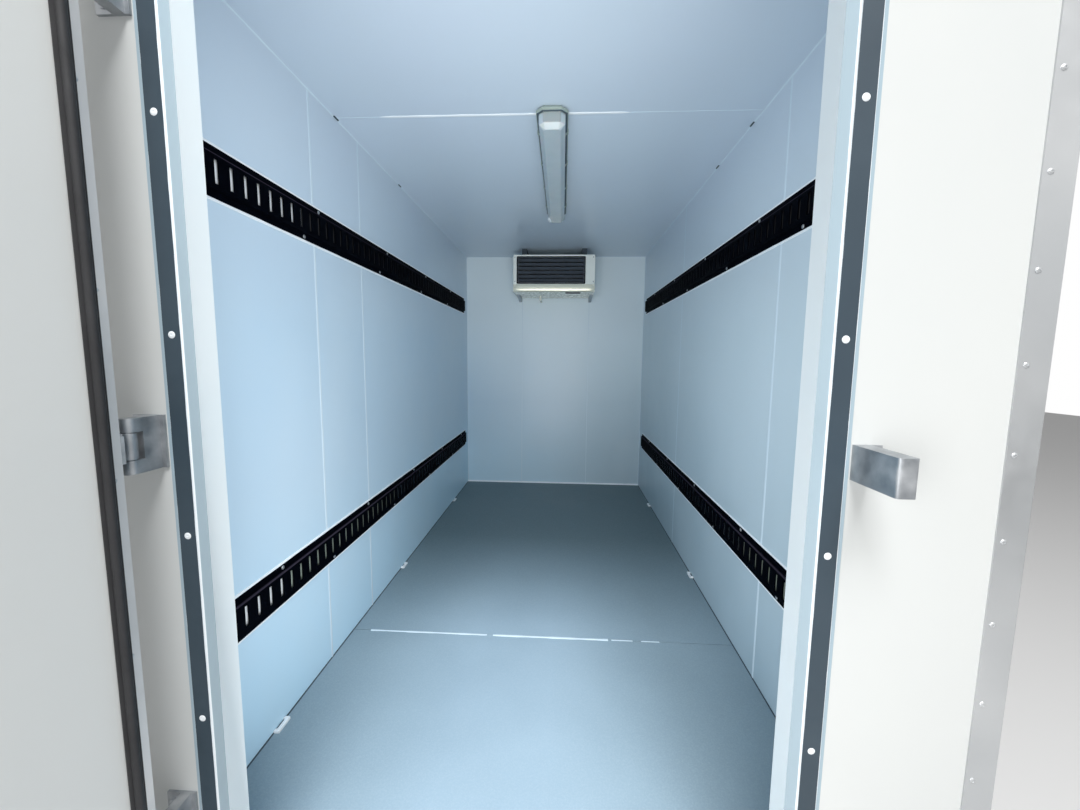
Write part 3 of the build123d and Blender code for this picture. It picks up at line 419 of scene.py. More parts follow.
def opal_finish():
    """Opal cover: milky and smooth. Its near end face is greyer, which is painted shade, and the facet
    where that end slopes is whiter, which is a painted highlight."""
    finish = moulded("opal_diffuser", (181, 194, 199), (187, 199, 204), 0.16, 0.24, 0.000004)
    wire(finish, "Subsurface Weight", 0.2)
    wire(finish, "Subsurface Scale", 0.01)
    body = principled(finish)["Base Color"].links[0].from_socket
    end_y, foot_z = corners("lamp_cover")[0][1:]
    slope_y, slope_z = end_y + lamp_slope, foot_z + lamp_slope
    # Painted highlight: the sloping facet of the near end is whiter; painted shade: the end face above it is
    # greyer.
    near_end = ramp(finish, "Y", slope_y, slope_y + 0.001, 1, 0)
    low_part = ramp(finish, "Z", slope_z - 0.002, slope_z, 1, 0)
    sloping_end = combine(near_end, low_part, "MULTIPLY")
    shaded = by_place(finish, "Y", end_y + 0.001, end_y + 0.003, tone(158, 167, 167), body)
    wire(finish, "Base Color", between(sloping_end, shaded, tone(206, 213, 213)))
    return finish


drawn_lines, zinc_bloom = (0.004, 2, (60, 60, 60)), (0.03, 5)
alloy_tones, zinc_tones = ((192, 195, 197), (210, 212, 213)), ((150, 155, 160), (190, 193, 196))
chrome_tone, fin_tone, lip_tone = (205, 207, 210), (150, 153, 155), (253, 250, 228)
finishes = {
    "panel_white": panel_finish(),
    "floor_grey": floor_finish(),
    "rail_black": black_coat(),
    "frame_white": frame_finish(),
    "strip_grey": coated("strip_coat", (48, 63, 74), (56, 71, 82), 0.42, 0.56),
    "seal_dark": moulded("seal_rubber", (38, 38, 40), (48, 48, 50), 0.6, 0.75, 0.00008),
    "alloy": bare_metal("drawn_alloy", *alloy_tones, 0.85, 0.3, 0.48, (0.05,), drawn_lines),
    "zinc_steel": bare_metal("zinc_steel", *zinc_tones, 0.9, 0.35, 0.6, zinc_bloom, zinc_bloom),
    "clip_white": moulded("clip_plastic", (236, 242, 246), (242, 247, 250), 0.35, 0.45),
    "lamp_grey": moulded("lamp_body", (156, 170, 160), (164, 177, 168), 0.35, 0.48),
    "lamp_opal": opal_finish(),
    "casing_white": coated("casing_coat", (243, 247, 240), (248, 251, 244), 0.3, 0.42),
    "outlet_black": moulded("louvre_plastic", (78, 85, 94), (86, 93, 102), 0.34, 0.46),
    "fin_alloy": bare_metal("coil_fins", fin_tone, None, 0.9, 0.3, 0.5, (0.02,)),
    "tray_cream": moulded("tray_plastic", (236, 236, 222), (242, 241, 228), 0.2, 0.32),
    "latch_chrome": bare_metal("latch_plating", chrome_tone, None, 1.0, 0.1, 0.24, (0.03,)),
    "release_dark": moulded("knob_plastic", (30, 33, 36), (37, 40, 43), 0.35, 0.5),
    "sealant": sealant_finish("white_sealant", (240, 246, 250)),
    "seam_sealant": sealant_finish("seam_sealant", (215, 231, 241)),
    "polished_lip": bare_metal("polished_lip", lip_tone, None, 0.5, 0.285, 0.33, (0.1, 1)),
    "lamp_seal": moulded("lamp_seal", (70, 84, 92), (80, 94, 102), 0.5, 0.65),
}
for node in nodes.values():
    for holder in node.material_slots:
        holder.material = finishes[holder.material.name.split(".")[0]]
print(len(finishes), "finishes")


# %% [markdown]
# A new piece is a shape worked out with numpy: its points, and its faces in groups with equally many
# corners. Working on whole arrays is quick and keeps the formula of a shape in one place. Four makers
# cover most of this body: a turned form, a swept section, copies of a small shape, and shapes joined.

# %% Helpers for surfaces
def grid_faces(rows, columns, wrap_rows=False, wrap_columns=False):
    """Quads between the points of a grid. A wrapped direction joins its last line to its first."""
    row, column = np.meshgrid(
        np.arange(rows if wrap_rows else rows - 1),
        np.arange(columns if wrap_columns else columns - 1),
        indexing="ij",
    )
    row_after, column_after = (row + 1) % rows, (column + 1) % columns
    quads = (row * columns + column, row * columns + column_after)
    quads += (row_after * columns + column_after, row_after * columns + column)
    return np.stack(quads, axis=-1).reshape(-1, 4)


def turned(radii, heights, around=12):
    """A form turned about z. Ring i has radius radii[i] at heights[i], and a disc closes each end.
    A ring may also be a whole row of radii, one for each angle."""
    angle = np.arange(around) * 2 * pi / around
    heights = np.asarray(heights, float)[:, None]
    radii = np.stack([np.broadcast_to(ring, around) for ring in radii])
    points = np.stack([radii * np.cos(angle), radii * np.sin(angle), heights + 0 * radii], axis=-1)
    first = np.arange(around)
    discs = np.stack([first[::-1], first + (len(radii) - 1) * around])
    return points.reshape(-1, 3), [grid_faces(len(radii), around, wrap_columns=True), discs]


def swept(section, centres, across, up, closed=False, sizes=1.0):
    """A closed section carried along a path: its point (a, b) lies at centre + size (a across + b up).
    Across, up and the way along are right-handed, so the faces point outwards."""
    centres = np.asarray(centres, float)
    across = np.broadcast_to(across, centres.shape)[:, None]
    up = np.broadcast_to(up, centres.shape)[:, None]
    sizes = np.broadcast_to(sizes, len(centres))[:, None, None]
    points = centres[:, None] + sizes * (section[:, :1] * across + section[:, 1:] * up)
    rows, columns = points.shape[:2]
    faces = [grid_faces(rows, columns, closed, True)]
    if not closed:
        first = np.arange(columns)
        faces.append(np.stack([first[::-1], first + (rows - 1) * columns]))
    return points.reshape(-1, 3), faces


def copies(shape, places, axes=np.eye(3)):
    """A copy of a shape at each place, with its own x, y and z laid along the three rows of axes."""
    points, faces = shape
    places = np.asarray(places, float).reshape(-1, 3)
    axes = np.broadcast_to(np.asarray(axes, float), (len(places), 3, 3))
    laid = np.einsum("pi,kij->kpj", points, axes) + places[:, None]
    shift = np.arange(len(places))[:, None, None] * len(points)
    return laid.reshape(-1, 3), [(group[None] + shift).reshape(-1, group.shape[1]) for group in faces]


def joined(shapes):
    """Several shapes as one."""
    points, faces, start = [], [], 0
    for own_points, own_faces in shapes:
        points.append(own_points)
        faces += [group + start for group in own_faces]
        start += len(own_points)
    return np.concatenate(points), faces


def facing(out):
    """Three axes of which z points out, for a small shape that sits on a face."""
    out = np.asarray(out, float) / np.linalg.norm(out)
    side = np.cross((0, 0, 1), out) if abs(out[2]) < 0.9 else np.array((1.0, 0, 0))
    side = side / np.linalg.norm(side)
    return np.stack([side, np.cross(out, side), out])


def piece(name, shape, slot, body="box", finish=None, sharp=35):
    """A shape put in a mesh object that takes a slot's finish and rides on a body."""
    points, faces = shape
    mesh = bpy.data.meshes.new(name)
    mesh.from_pydata(points.tolist(), [], [face for group in faces for face in group.tolist()])
    mesh.materials.append(finish or finishes[slot])
    mesh.shade_smooth()
    mesh.set_sharp_from_angle(angle=radians(sharp))
    made = bpy.data.objects.new(name, mesh)
    bpy.context.scene.collection.objects.link(made)
    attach(made, body)
    print(name, len(mesh.polygons), "faces")
    return made


# %% [markdown]
# Sealant closes every joint of a cold box. Two sections serve them all: a low bead that is pressed along
# a flat seam, and the hollow fillet that a finger leaves in a corner. A nozzle is moved by hand, so the
# section swells and thins a little along its way; that is what tells it from a drawn plastic strip.

# %% Sections and runs of sealant
def low_bead(width, height, count=7):
    """Half an ellipse that stands on the face, with its foot a hair under the face."""
    angle = np.linspace(0, pi, count)
    arc = np.stack([width / 2 * np.cos(angle), height * np.sin(angle)], axis=-1)
    return np.concatenate([arc, [[-width / 2, -0.0003], [width / 2, -0.0003]]])


def fillet(width, height, count=6):
    """The corner between two faces, less a quarter ellipse about the point (width, height)."""
    angle = np.linspace(-pi / 2, -pi, count)
    arc = np.stack([width * (1 + np.cos(angle)), height * (1 + np.sin(angle))], axis=-1)
    return np.concatenate([[[-0.0003, -0.0003], [width, -0.0003]], arc, [[-0.0003, height]]])


def run(section, start, end, across, up, spacing=0.03, sway=0.1):
    """A section laid from start to end, its x along across and its y along up. Its size sways by a
    share of itself, as the sum of two sines of the way run, and by nothing if sway is 0."""
    start, end, across, up = (np.asarray(entry, float) for entry in (start, end, across, up))
    if np.dot(np.cross(across, up), end - start) < 0:
        start, end = end, start
    length = np.linalg.norm(end - start)
    share = np.linspace(0, 1, max(2, int(length / spacing) if sway else 2))
    way = share * length + start.sum()
    sizes = 1 + sway * (0.6 * np.sin(31 * way) + 0.4 * np.sin(83 * way + 1.7))
    return swept(section, start + (end - start) * share[:, None], across, up, sizes=sizes)


def upright(x, y, low_z, high_z, across, up):
    """The row of a run that stands upright at x and y."""
    return (x, y, low_z), (x, y, high_z), across, up


def on_wall(side, start_y, end_y, level):
    """The row of a run along a side wall, upright on its face."""
    x = side * wall_x
    return (x, start_y, level), (x, end_y, level), (0, 0, 1), (-side, 0, 0)


def runs(section, rows, **how):
    """Several runs of a section as one shape. A row is a run's start, end, across and up."""
    return joined([run(section, *row, **how) for row in rows])


def sealant(name, shape, finish="sealant"):
    """A piece of sealant, in one of its two finishes."""
    return piece(name, shape, "panel_white", finish=finishes[finish])


seal_bead = low_bead(0.0046, 0.0008)
wiped_bead = low_bead(0.013, 0.0007)
corner_fillet = fillet(0.004, 0.004)
sides = (("left", -1), ("right", 1))

# %% Sealant of the walls, the ceiling and the bulkhead
wall_rows, corner_rows, foot_rows = [], [], []
for side_name, side in sides:
    x, inward = side * wall_x, (-side, 0, 0)
    middle_low, middle_high = corners(f"wall_{side_name}_middle")
    upper_low, upper_high = corners(f"rail_{side_name}_upper")
    lower_low, lower_high = corners(f"rail_{side_name}_lower")
    levels = [floor_z, lower_low[2], lower_high[2], upper_low[2], upper_high[2], ceiling_z]
    for seam_y in (middle_low[1], middle_high[1]):
        for low_z, high_z in zip(levels[::2], levels[1::2]):
            wall_rows.append(upright(x, seam_y, low_z, high_z, (0, 1, 0), inward))
    corner_rows.append(((x, rear_y, ceiling_z), (x, bulkhead_y, ceiling_z), inward, (0, 0, -1)))
    corner_rows.append(upright(x, bulkhead_y, floor_z, ceiling_z, inward, (0, -1, 0)))
    foot_rows.append(((x, rear_y, floor_z), (x, bulkhead_y, floor_z), inward, (0, 0, 1)))
sealant("wall_seam_beads", runs(wiped_bead, wall_rows), "seam_sealant")

ceiling_seam = corners("roof_front")[0][1]
# The thick, whiter bead stands only where the ceiling seam shows a highlight, and thins where that fades:
# real sealant, and partly a painted highlight.
thick_start, thick_end = (np.array((x, ceiling_seam, ceiling_z)) for x in (-0.63, 0.32))
share = np.linspace(0, 1, 70)
thick_path = thick_start + (thick_end - thick_start) * share[:, None]
thick_sizes = np.maximum(1 - np.abs(2 * share - 1) ** 20, 0.05) * (1 + 0.12 * np.sin(41 * share))
thick_bead = swept(low_bead(0.014, 0.0024), thick_path, (0, -1, 0), (0, 0, -1), sizes=thick_sizes)
sealant("ceiling_seam_bead", thick_bead)
thin_rows = [
    ((side * wall_x, ceiling_seam, ceiling_z), near, (0, 1, 0), (0, 0, -1))
    for side, near in ((-1, thick_start), (1, thick_end))
]
sealant("ceiling_seam_ends", runs(seal_bead, thin_rows), "seam_sealant")

bulkhead_low, bulkhead_high = corners("bulkhead_middle")
bulkhead_rows = [
    upright(x, bulkhead_y, floor_z, ceiling_z, (1, 0, 0), (0, -1, 0))
    for x in (bulkhead_low[0], bulkhead_high[0])
]
sealant("bulkhead_seam_beads", runs(seal_bead, bulkhead_rows), "seam_sealant")
foot_start, foot_end = (-wall_x, bulkhead_y, floor_z), (wall_x, bulkhead_y, floor_z)
sealant("bulkhead_foot_bead", run(fillet(0.010, 0.012), foot_start, foot_end, (0, -1, 0), (0, 0, 1)))
corner_ends = (-wall_x, bulkhead_y, ceiling_z), (wall_x, bulkhead_y, ceiling_z)
corner_rows.append((*corner_ends, (0, -1, 0), (0, 0, -1)))
sealant("corner_sealant", runs(corner_fillet, corner_rows), "seam_sealant")

# %% [markdown]
# The two floor boards meet in a narrow joint filled with white sealant. It has come away in places and
# is thinner to the right, so it is laid in four stretches. Along the walls the boards end at a dark joint.

# %% Joints of the floor
joint_y = (corners("floor_board_front")[0][1] + corners("floor_board_rear")[1][1]) / 2
joint_stretches = ((-0.724, -0.222, 0.85), (-0.196, 0.288, 1.1), (0.302, 0.39, 0.6), (0.425, 0.5, 0.5))
joint_runs = []
for start_x, end_x, size in joint_stretches:
    ends = (start_x, joint_y, floor_z), (end_x, joint_y, floor_z)
    joint_bead = low_bead(0.0105, 0.0009) * size
    joint_runs.append(run(joint_bead, *ends, (0, 1, 0), (0, 0, 1), spacing=0.015, sway=0.25))
sealant("floor_joint_bead", joined(joint_runs), "seam_sealant")
piece("wall_foot_joints", runs(fillet(0.0035, 0.003), foot_rows, sway=0), "strip_grey")

# %% [markdown]
# The lashing rails are pressed steel, screwed through both flanges into the foam's inserts and bedded in
# sealant, which squeezes out as a fine white line above and below. A pan head has a cross-shaped pit: on
# a turned form the pit's radius swings four times in one turn, so no boolean cut is needed.

# %% Small fasteners
def pan_screw(radius, height, around=16):
    """Pan head: a short wall, a crown, and a pit whose radius is r (0.34 + 0.17 cos 4a)."""
    cross = radius * (0.34 + 0.17 * np.cos(4 * np.arange(around) * 2 * pi / around))
    rings = [radius, radius, radius * 0.88, radius * 0.6, cross, cross * 0.6]
    return turned(rings, np.array([-0.1, 0.45, 0.82, 1.0, 1.0, 0.4]) * height, around)


def blind_rivet(radius, height, around=10):
    """Blind rivet: a thin brim, a dome and the pit that its broken stem leaves."""
    rings = np.array([1.0, 1.0, 0.78, 0.48, 0.3, 0.22]) * radius
    return turned(rings, np.array([-0.1, 0.22, 0.75, 1.0, 0.98, 0.55]) * height, around)


def hexagon_bolt(radius, height, around=12):
    """Hexagon head on a washer. A hexagon's radius at angle a is its inner radius over the cosine of
    the angle from the middle of the nearest side."""
    angle = np.arange(around) * 2 * pi / around
    hexagon = radius * cos(pi / 6) / np.cos((angle % (pi / 3)) - pi / 6)
    rings = [radius * 1.5, radius * 1.5, hexagon, hexagon, hexagon * 0.86]
    return turned(rings, np.array([-0.05, 0.22, 0.22, 0.92, 1.0]) * height, around)


def grid(xs, ys, zs):
    """Every place whose x, y and z are among the ones given. A lone number counts as a list of one."""
    return np.stack(np.meshgrid(xs, ys, zs, indexing="ij"), axis=-1).reshape(-1, 3)


def fastened(name, head, places, out, slot="zinc_steel"):
    """A piece made of equal fasteners at places on a face, whose way out is given."""
    return piece(name, copies(head, places, facing(out)), slot)


# %% Screws and sealant of the rails
rail_flange, screw_inset, screw_pitch, screw_end, bead_gap = 0.0027, 0.0095, 0.6096, 0.03, 0.0034
screw_starts = {"left_upper": (0.4, -0.914), "left_lower": (-1.116, -0.811)}
rail_screw = pan_screw(0.0062, 0.0028)
rail_rows, screw_rows = [], []
for side_name, side in sides:
    for level_name in ("upper", "lower"):
        rail_low, rail_high = corners(f"rail_{side_name}_{level_name}")
        for edge_z in (rail_high[2] + bead_gap, rail_low[2] - bead_gap):
            rail_rows.append(on_wall(side, rail_low[1], rail_high[1], edge_z))
        starts = screw_starts.get(f"{side_name}_{level_name}", (-1.3, -0.995))
        for start_y, screw_z in zip(starts, (rail_high[2] - screw_inset, rail_low[2] + screw_inset)):
            first = rail_low[1] + screw_end + (start_y - rail_low[1] - screw_end) % screw_pitch
            along = np.arange(first, rail_high[1] - 0.02, screw_pitch)
            places = grid(side * (wall_x - rail_flange), along, screw_z)
            screw_rows.append(copies(rail_screw, places, facing((-side, 0, 0))))
sealant("rail_sealant", runs(low_bead(0.0085, 0.0032), rail_rows, sway=0.15))
piece("rail_screws", joined(screw_rows), "zinc_steel")

# %% [markdown]
# Strips lie on the wall behind each rail's crown, and their tones are painted light and shade seen
# through the slots. White near the door on the left is painted daylight on the wall behind, which looks
# like bright bars; grey on the lower rails is painted dimmer light, and black on the upper rails is
# painted shade. Past the strips of the lower rails the wall itself shows through.

# %% Strips behind the rails, in tones of painted light and shade
backing_section, backing_gap = low_bead(0.076, 0.0065, 7), 0.01
slot_shading_plan = {
    "white": ("clip_white", (("left", "upper", 0.0, 0.63), ("left", "lower", 0.0, 0.47))),
    "black": ("seal_dark", (("left", "upper", 0.64, 3.1), ("right", "upper", 0.0, 3.1))),
    "grey": ("lamp_grey", (("right", "lower", 0.0, 0.9), ("left", "lower", 0.48, 1.4))),
}
for shading_tone, (slot, stretches) in slot_shading_plan.items():
    backing_rows = []
    for side_name, level_name, from_end, to_end in stretches:
        side = dict(sides)[side_name]
        rail_low, rail_high = corners(f"rail_{side_name}_{level_name}")
        backing_z = (rail_low[2] + rail_high[2]) / 2
        backing_start = rail_low[1] + from_end + backing_gap
        backing_end = min(rail_low[1] + to_end, rail_high[1]) - backing_gap
        backing_rows.append(on_wall(side, backing_start, backing_end, backing_z))
    piece(f"slot_painted_light_and_shade_{shading_tone}", runs(backing_section, backing_rows, sway=0), slot)

# %% Rivets of the grey strips round the doorway
strip_half, strip_end, strip_pitch, strip_first, strip_last = 0.0155, 0.10, 0.3665, 0.3415, 2.16
strip_low, strip_high = corners("seal_strips")
strip_lines = (strip_low[0] + strip_half, strip_high[0] - strip_half)
strip_levels = np.arange(strip_first, strip_last, strip_pitch)
head_line = np.linspace(strip_low[0] + strip_end, strip_high[0] - strip_end, 4)
upright_rivets = grid(strip_lines, strip_low[1], strip_levels)
head_rivets = grid(head_line, strip_low[1], strip_high[2] - strip_half)
rivet_places = np.concatenate([upright_rivets, head_rivets])
fastened("strip_rivets", blind_rivet(0.0064, 0.0012, 14), rivet_places, (0, -1, 0), "clip_white")

# %% [markdown]
# The strips are pressed into a line of white sealant, and what squeezes out on both sides is trimmed to a
# hair-thin bright edge. Each edge is three runs that meet in the doorway's two upper corners.

# %% Sealant along the strips
edge_rows = []
edge_y, strip_foot, lap = back_y - 0.002, strip_low[2], 0.0002
for inset, way in ((-lap, -1), (2 * strip_half + lap, 1)):
    left_x, right_x, top_z = strip_low[0] + inset, strip_high[0] - inset, strip_high[2] - inset
    for x, out in ((left_x, way), (right_x, -way)):
        edge_rows.append(upright(x, edge_y, strip_foot, top_z, (out, 0, 0), (0, -1, 0)))
    edge_rows.append(((left_x, edge_y, top_z), (right_x, edge_y, top_z), (0, 0, -way), (0, -1, 0)))
sealant("strip_sealant", runs(fillet(0.0026, 0.0028), edge_rows, sway=0.12))

# %% [markdown]
# The lamp is a sealed batten: a grey tray under the ceiling and an opal cover clipped to it. The solids
# have its flat faces and cut corners already. Moulded plastic has no sharp edge, though, and it is the
# rounded edge that catches the light, so a weld and a bevel finish both. Small metal parts get the same.

# %% Rounded edges
def soften(name, width, segments=3, angle=25):
    """Round the edges of a solid sharper than angle degrees; the weld joins its loose triangles first."""
    node = nodes[name]
    weld = node.modifiers.new("weld", "WELD")
    weld.merge_threshold = 0.00001
    bevel = node.modifiers.new("bevel", "BEVEL")
    bevel.width = width
    bevel.segments = segments
    bevel.limit_method = "ANGLE"
    bevel.angle_limit = radians(angle)


rounded = {"lamp_cover": 0.0032, "lamp_base": 0.0025, "floor_clips": 0.0012, "corner_caps": 0.0015}
rounded |= {"latch_keeper": 0.0012, "door_latch": 0.0015, "hinge_straps": 0.001, "hinge_brackets": 0.001}
for name, width in rounded.items():
    soften(name, width)

# %% Lamp
base_low, base_high = corners("lamp_base")
cover_low, cover_high = corners("lamp_cover")
clip_outside = [(-8.0, -4.4), (-5.2, -3.6), (-4.6, -1.6), (1.0, -1.8), (1.8, -1.2), (1.8, 12.0), (-0.2, 12.4)]
clip_inside = [(-0.2, 0.1), (-5.8, 0.1), (-6.4, -2.0), (-9.4, -2.6), (-10.2, -9.0), (-8.6, -9.4)]
clip_section = np.array(clip_outside + clip_inside) / 1000
clip_half, clip_end = 0.008, 0.16
clip_rows = [
    ((x, y - clip_half, base_low[2]), (x, y + clip_half, base_low[2]), (side, 0, 0), (0, 0, 1))
    for side, x in ((-1, base_low[0]), (1, base_high[0]))
    for y in np.linspace(base_low[1] + clip_end, base_high[1] - clip_end, 4)
]
piece("lamp_clips", runs(clip_section, clip_rows, sway=0), "lamp_grey")

gasket_half, gasket_drop = 0.0038, 0.0022
half_x, half_y = (cover_high - cover_low)[:2] / 2 + gasket_half
cut = lamp_slope + gasket_half * 0.6
outline = [(half_x, cut - half_y), (half_x, half_y - cut), (half_x - cut, half_y), (cut - half_x, half_y)]
outline += [(-x, -y) for x, y in outline]
outline = np.array(outline) + (cover_low + cover_high)[:2] / 2
gasket_path = np.concatenate([outline, np.full((8, 1), cover_high[2])], axis=1)
along = np.roll(gasket_path, -1, axis=0) - gasket_path
along /= np.linalg.norm(along, axis=1)[:, None]
corner_out = np.cross(along + np.roll(along, 1, axis=0), (0, 0, 1))
corner_out /= np.sum(corner_out * np.cross(along, (0, 0, 1)), axis=1)[:, None]
gasket_arc = np.linspace(0, pi, 7)
gasket_section = np.stack([gasket_half * np.cos(gasket_arc), gasket_drop * np.sin(gasket_arc)], axis=-1)
gasket_section = np.concatenate([gasket_section, [[-gasket_half, -0.0005], [gasket_half, -0.0005]]])
lamp_gasket = swept(gasket_section, gasket_path, corner_out, (0, 0, -1), closed=True)
piece("lamp_gasket", lamp_gasket, "seal_dark", finish=finishes["lamp_seal"])

clip_rings, clip_rises = np.array([1, 1, 0.82, 0.45, 0.08]), np.array([-0.1, 0.2, 0.75, 1, 1.06])
clip_radius, clip_height, clip_stretch, clip_back = 0.014, 0.011, 2.6, 0.05
clip_slope = np.array((-1, -0.4, -1)) / 2.16**0.5
clip_axes = np.stack([(0, clip_stretch, 0), np.cross(clip_slope, (0, 1, 0)), clip_slope])
clip_place = (cover_low[0] + lamp_slope / 2, cover_high[1] - clip_back, cover_low[2] + lamp_slope / 2)
end_clip = turned(clip_rings * clip_radius, clip_rises * clip_height, 16)
piece("lamp_end_clip", copies(end_clip, clip_place, clip_axes), "clip_white")
gland_x, _, gland_z = (base_low + base_high) / 2
gland = turned(np.array([9.5, 9.5, 8.2, 8.2, 6.2, 4.5]) / 1000, np.array([-1, 6, 7, 13, 17, 18]) / 1000, 16)
fastened("lamp_gland", gland, (gland_x, base_high[1], gland_z), (0, 1, 0), "lamp_grey")

# %% [markdown]
# The evaporator hangs under the ceiling against the bulkhead. Sheet edges that people can touch are
# rolled over, and those rolled lips catch the light as thin bright lines. A rounded loop gives their path.

# %% Loops and rings
def rounded_loop(middle, wide, high, radius, flat, rise, count=5):
    """A rectangle with round corners in the plane of flat and rise: its points, and the way out at each.
    A corner is a quarter circle about a point one radius inside both edges."""
    angle = (np.arange(4)[:, None] * pi / 2 + np.linspace(0, pi / 2, count)).ravel()
    middle, flat, rise = (np.asarray(entry, float) for entry in (middle, flat, rise))
    out = np.cos(angle)[:, None] * flat + np.sin(angle)[:, None] * rise
    turn = np.repeat(np.arange(4), count)[:, None]
    sign_flat, sign_rise = np.where((turn == 0) | (turn == 3), 1, -1), np.where(turn < 2, 1, -1)
    inner = sign_flat * (wide / 2 - radius) * flat + sign_rise * (high / 2 - radius) * rise
    return middle + inner + radius * out, out


def ring(middle, radius, flat, rise, count=48):
    """A circle in the plane of flat and rise: its points, and the way out at each."""
    angle = (np.arange(count) * 2 * pi / count)[:, None]
    out = np.cos(angle) * np.asarray(flat, float) + np.sin(angle) * np.asarray(rise, float)
    return np.asarray(middle, float) + radius * out, out


def round_wire(radius, count=8):
    """The section of a wire or a rolled lip."""
    angle = np.arange(count) * 2 * pi / count
    return radius * np.stack([np.cos(angle), np.sin(angle)], axis=-1)


# %% Evaporator
def loop_round(low, high, inset, radius, lift, section):
    """A section swept round the front of a box, inset from its edges and lifted back from its face."""
    middle = ((low[0] + high[0]) / 2, casing_low[1] + lift, (low[2] + high[2]) / 2)
    wide, high = high[0] - low[0] - inset, high[2] - low[2] - inset
    path, out = rounded_loop(middle, wide, high, radius, (1, 0, 0), (0, 0, 1))
    return swept(section, path, out, (0, -1, 0), closed=True)


casing_low, casing_high = corners("evap_casing")
tray_low, tray_high = corners("evap_tray")
coil_low, coil_high = corners("evap_coil")
lip = 0.0032
casing_lip = loop_round(casing_low, casing_high, lip, 0.008, lip * 0.4, round_wire(lip))
piece("casing_lip", casing_lip, "casing_white")
outlet_trim = loop_round(*corners("evap_outlet"), 0, 0.004, 0, low_bead(0.009, 0.003))
piece("outlet_trim", outlet_trim, "rail_black")

tray_height = tray_high[2] - tray_low[2]
tray_swell, tray_lean = 0.0085, 0.002
front_rise = np.linspace(0, 1, 13)
front_swell = tray_swell * np.sin(pi * front_rise**0.62) ** 0.8 + tray_lean * front_rise
front_section = np.stack([front_swell, (front_rise - 0.5) * (tray_height - 0.002)], axis=-1)
front_back = np.array([[-0.001, tray_height / 2 - 0.001], [-0.001, 0.001 - tray_height / 2]])
front_section = np.concatenate([front_section, front_back])
front_share = np.linspace(1, -1, 41)
front_sizes = np.maximum(1 - np.abs(front_share) ** 40, 0.3)
front_middle = np.array((0, tray_low[1], (tray_low[2] + tray_high[2]) / 2))
front_path = front_middle + front_share[:, None] * np.array((tray_high[0] - 0.002, 0, 0))
tray_front = swept(front_section, front_path, (0, -1, 0), (0, 0, 1), sizes=front_sizes)
piece("tray_front", tray_front, "tray_cream", finish=finishes["polished_lip"])

casing_screw = pan_screw(0.0048, 0.0022)
front_levels = (casing_low[2] + 0.022, casing_high[2] - 0.018)
casing_inset, casing_lines = 0.012, np.linspace(1.28, 1.54, 3)
front_columns = (casing_inset - casing_high[0], casing_high[0] - casing_inset)
front_places = grid(front_columns, casing_low[1], front_levels)
casing_rows = [copies(casing_screw, front_places, facing((0, -1, 0)))]
for side in (-1, 1):
    side_places = grid(side * casing_high[0], casing_lines, casing_high[2] - 0.02)
    casing_rows.append(copies(casing_screw, side_places, facing((side, 0, 0))))
piece("casing_screws", joined(casing_rows), "zinc_steel")

fin_pitch, fin_gauge, tube_gap, tube_inset = 0.0065, 0.0004, 0.036, 0.025
fin_x = np.arange(coil_low[0] + 0.004, coil_high[0] - 0.003, fin_pitch)
fin_section = np.array([[-1, -1], [1, -1], [1, 1], [-1, 1]]) / 2 * (fin_gauge, coil_high[1] - coil_low[1])
fin_middle = (coil_low[1] + coil_high[1]) / 2
fin = swept(fin_section, [(0, 0, coil_low[2]), (0, 0, coil_high[2])], (1, 0, 0), (0, 1, 0))
fins = copies(fin, grid(fin_x, fin_middle, 0))
tube_rows = [
    ((coil_low[0], y, z), (coil_high[0], y, z), (0, 1, 0), (0, 0, 1))
    for y in (fin_middle - tube_gap, fin_middle, fin_middle + tube_gap)
    for z in np.linspace(coil_low[2] + tube_inset, coil_high[2] - tube_inset, 5)
]
tubes = runs(round_wire(0.005), tube_rows, sway=0)
fin_pack = piece("evap_fin_pack", joined([fins, tubes]), "fin_alloy")
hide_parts("evap_coil")
print(len(fin_x), "fins")

probe_x, probe_half, probe_drop, guard_drop = 0.155, 0.06, 0.005, 0.014
probe_ends = [np.array((probe_x + way * probe_half, tray_low[1] + 0.035, tray_low[2])) for way in (-1, 1)]
probe_line, guard_line = ([end - (0, 0, drop) for end in probe_ends] for drop in (probe_drop, guard_drop))
piece("air_probe", run(round_wire(0.006, 10), *probe_line, (0, 1, 0), (0, 0, 1), sway=0), "outlet_black")
probe_guard = run(low_bead(0.014, 0.003), *guard_line, (0, 1, 0), (0, 0, -1), sway=0)
piece("probe_guard", probe_guard, "casing_white")

# %% [markdown]
# The door is modelled open, so its pieces are worked out on the leaf's own axes and then turned with it.
# The gasket is a soft tube on a foot that is pushed into the leaf. One loop round the opening closes it,
# with a radius at the corners where the real one is bent rather than cut. It just clears the flat rivet
# heads of the grey strips when the door is shut.

# %% Door gasket
door_open = radians(110)
door_pin = np.array((-0.650, -1.700, 0.0))
door_axes = np.array(((cos(door_open), -sin(door_open), 0), (sin(door_open), cos(door_open), 0), (0, 0, 1)))
leaf_half, leaf_near, leaf_far = 0.033, 0.025, 1.211
leaf_low, leaf_high = corners("door_edge")[0][2], corners("door_edge")[1][2]
seal_near, seal_far, seal_low, seal_high = 0.047, 1.189, 0.226, 2.2062
bulb_radius, foot_half, foot_height = 0.0063, 0.0105, 0.0022


def hang(shape):
    """A shape on the leaf's axes (along the leaf, towards the body, up) laid on the open door."""
    points, faces = shape
    return points @ door_axes + door_pin, faces


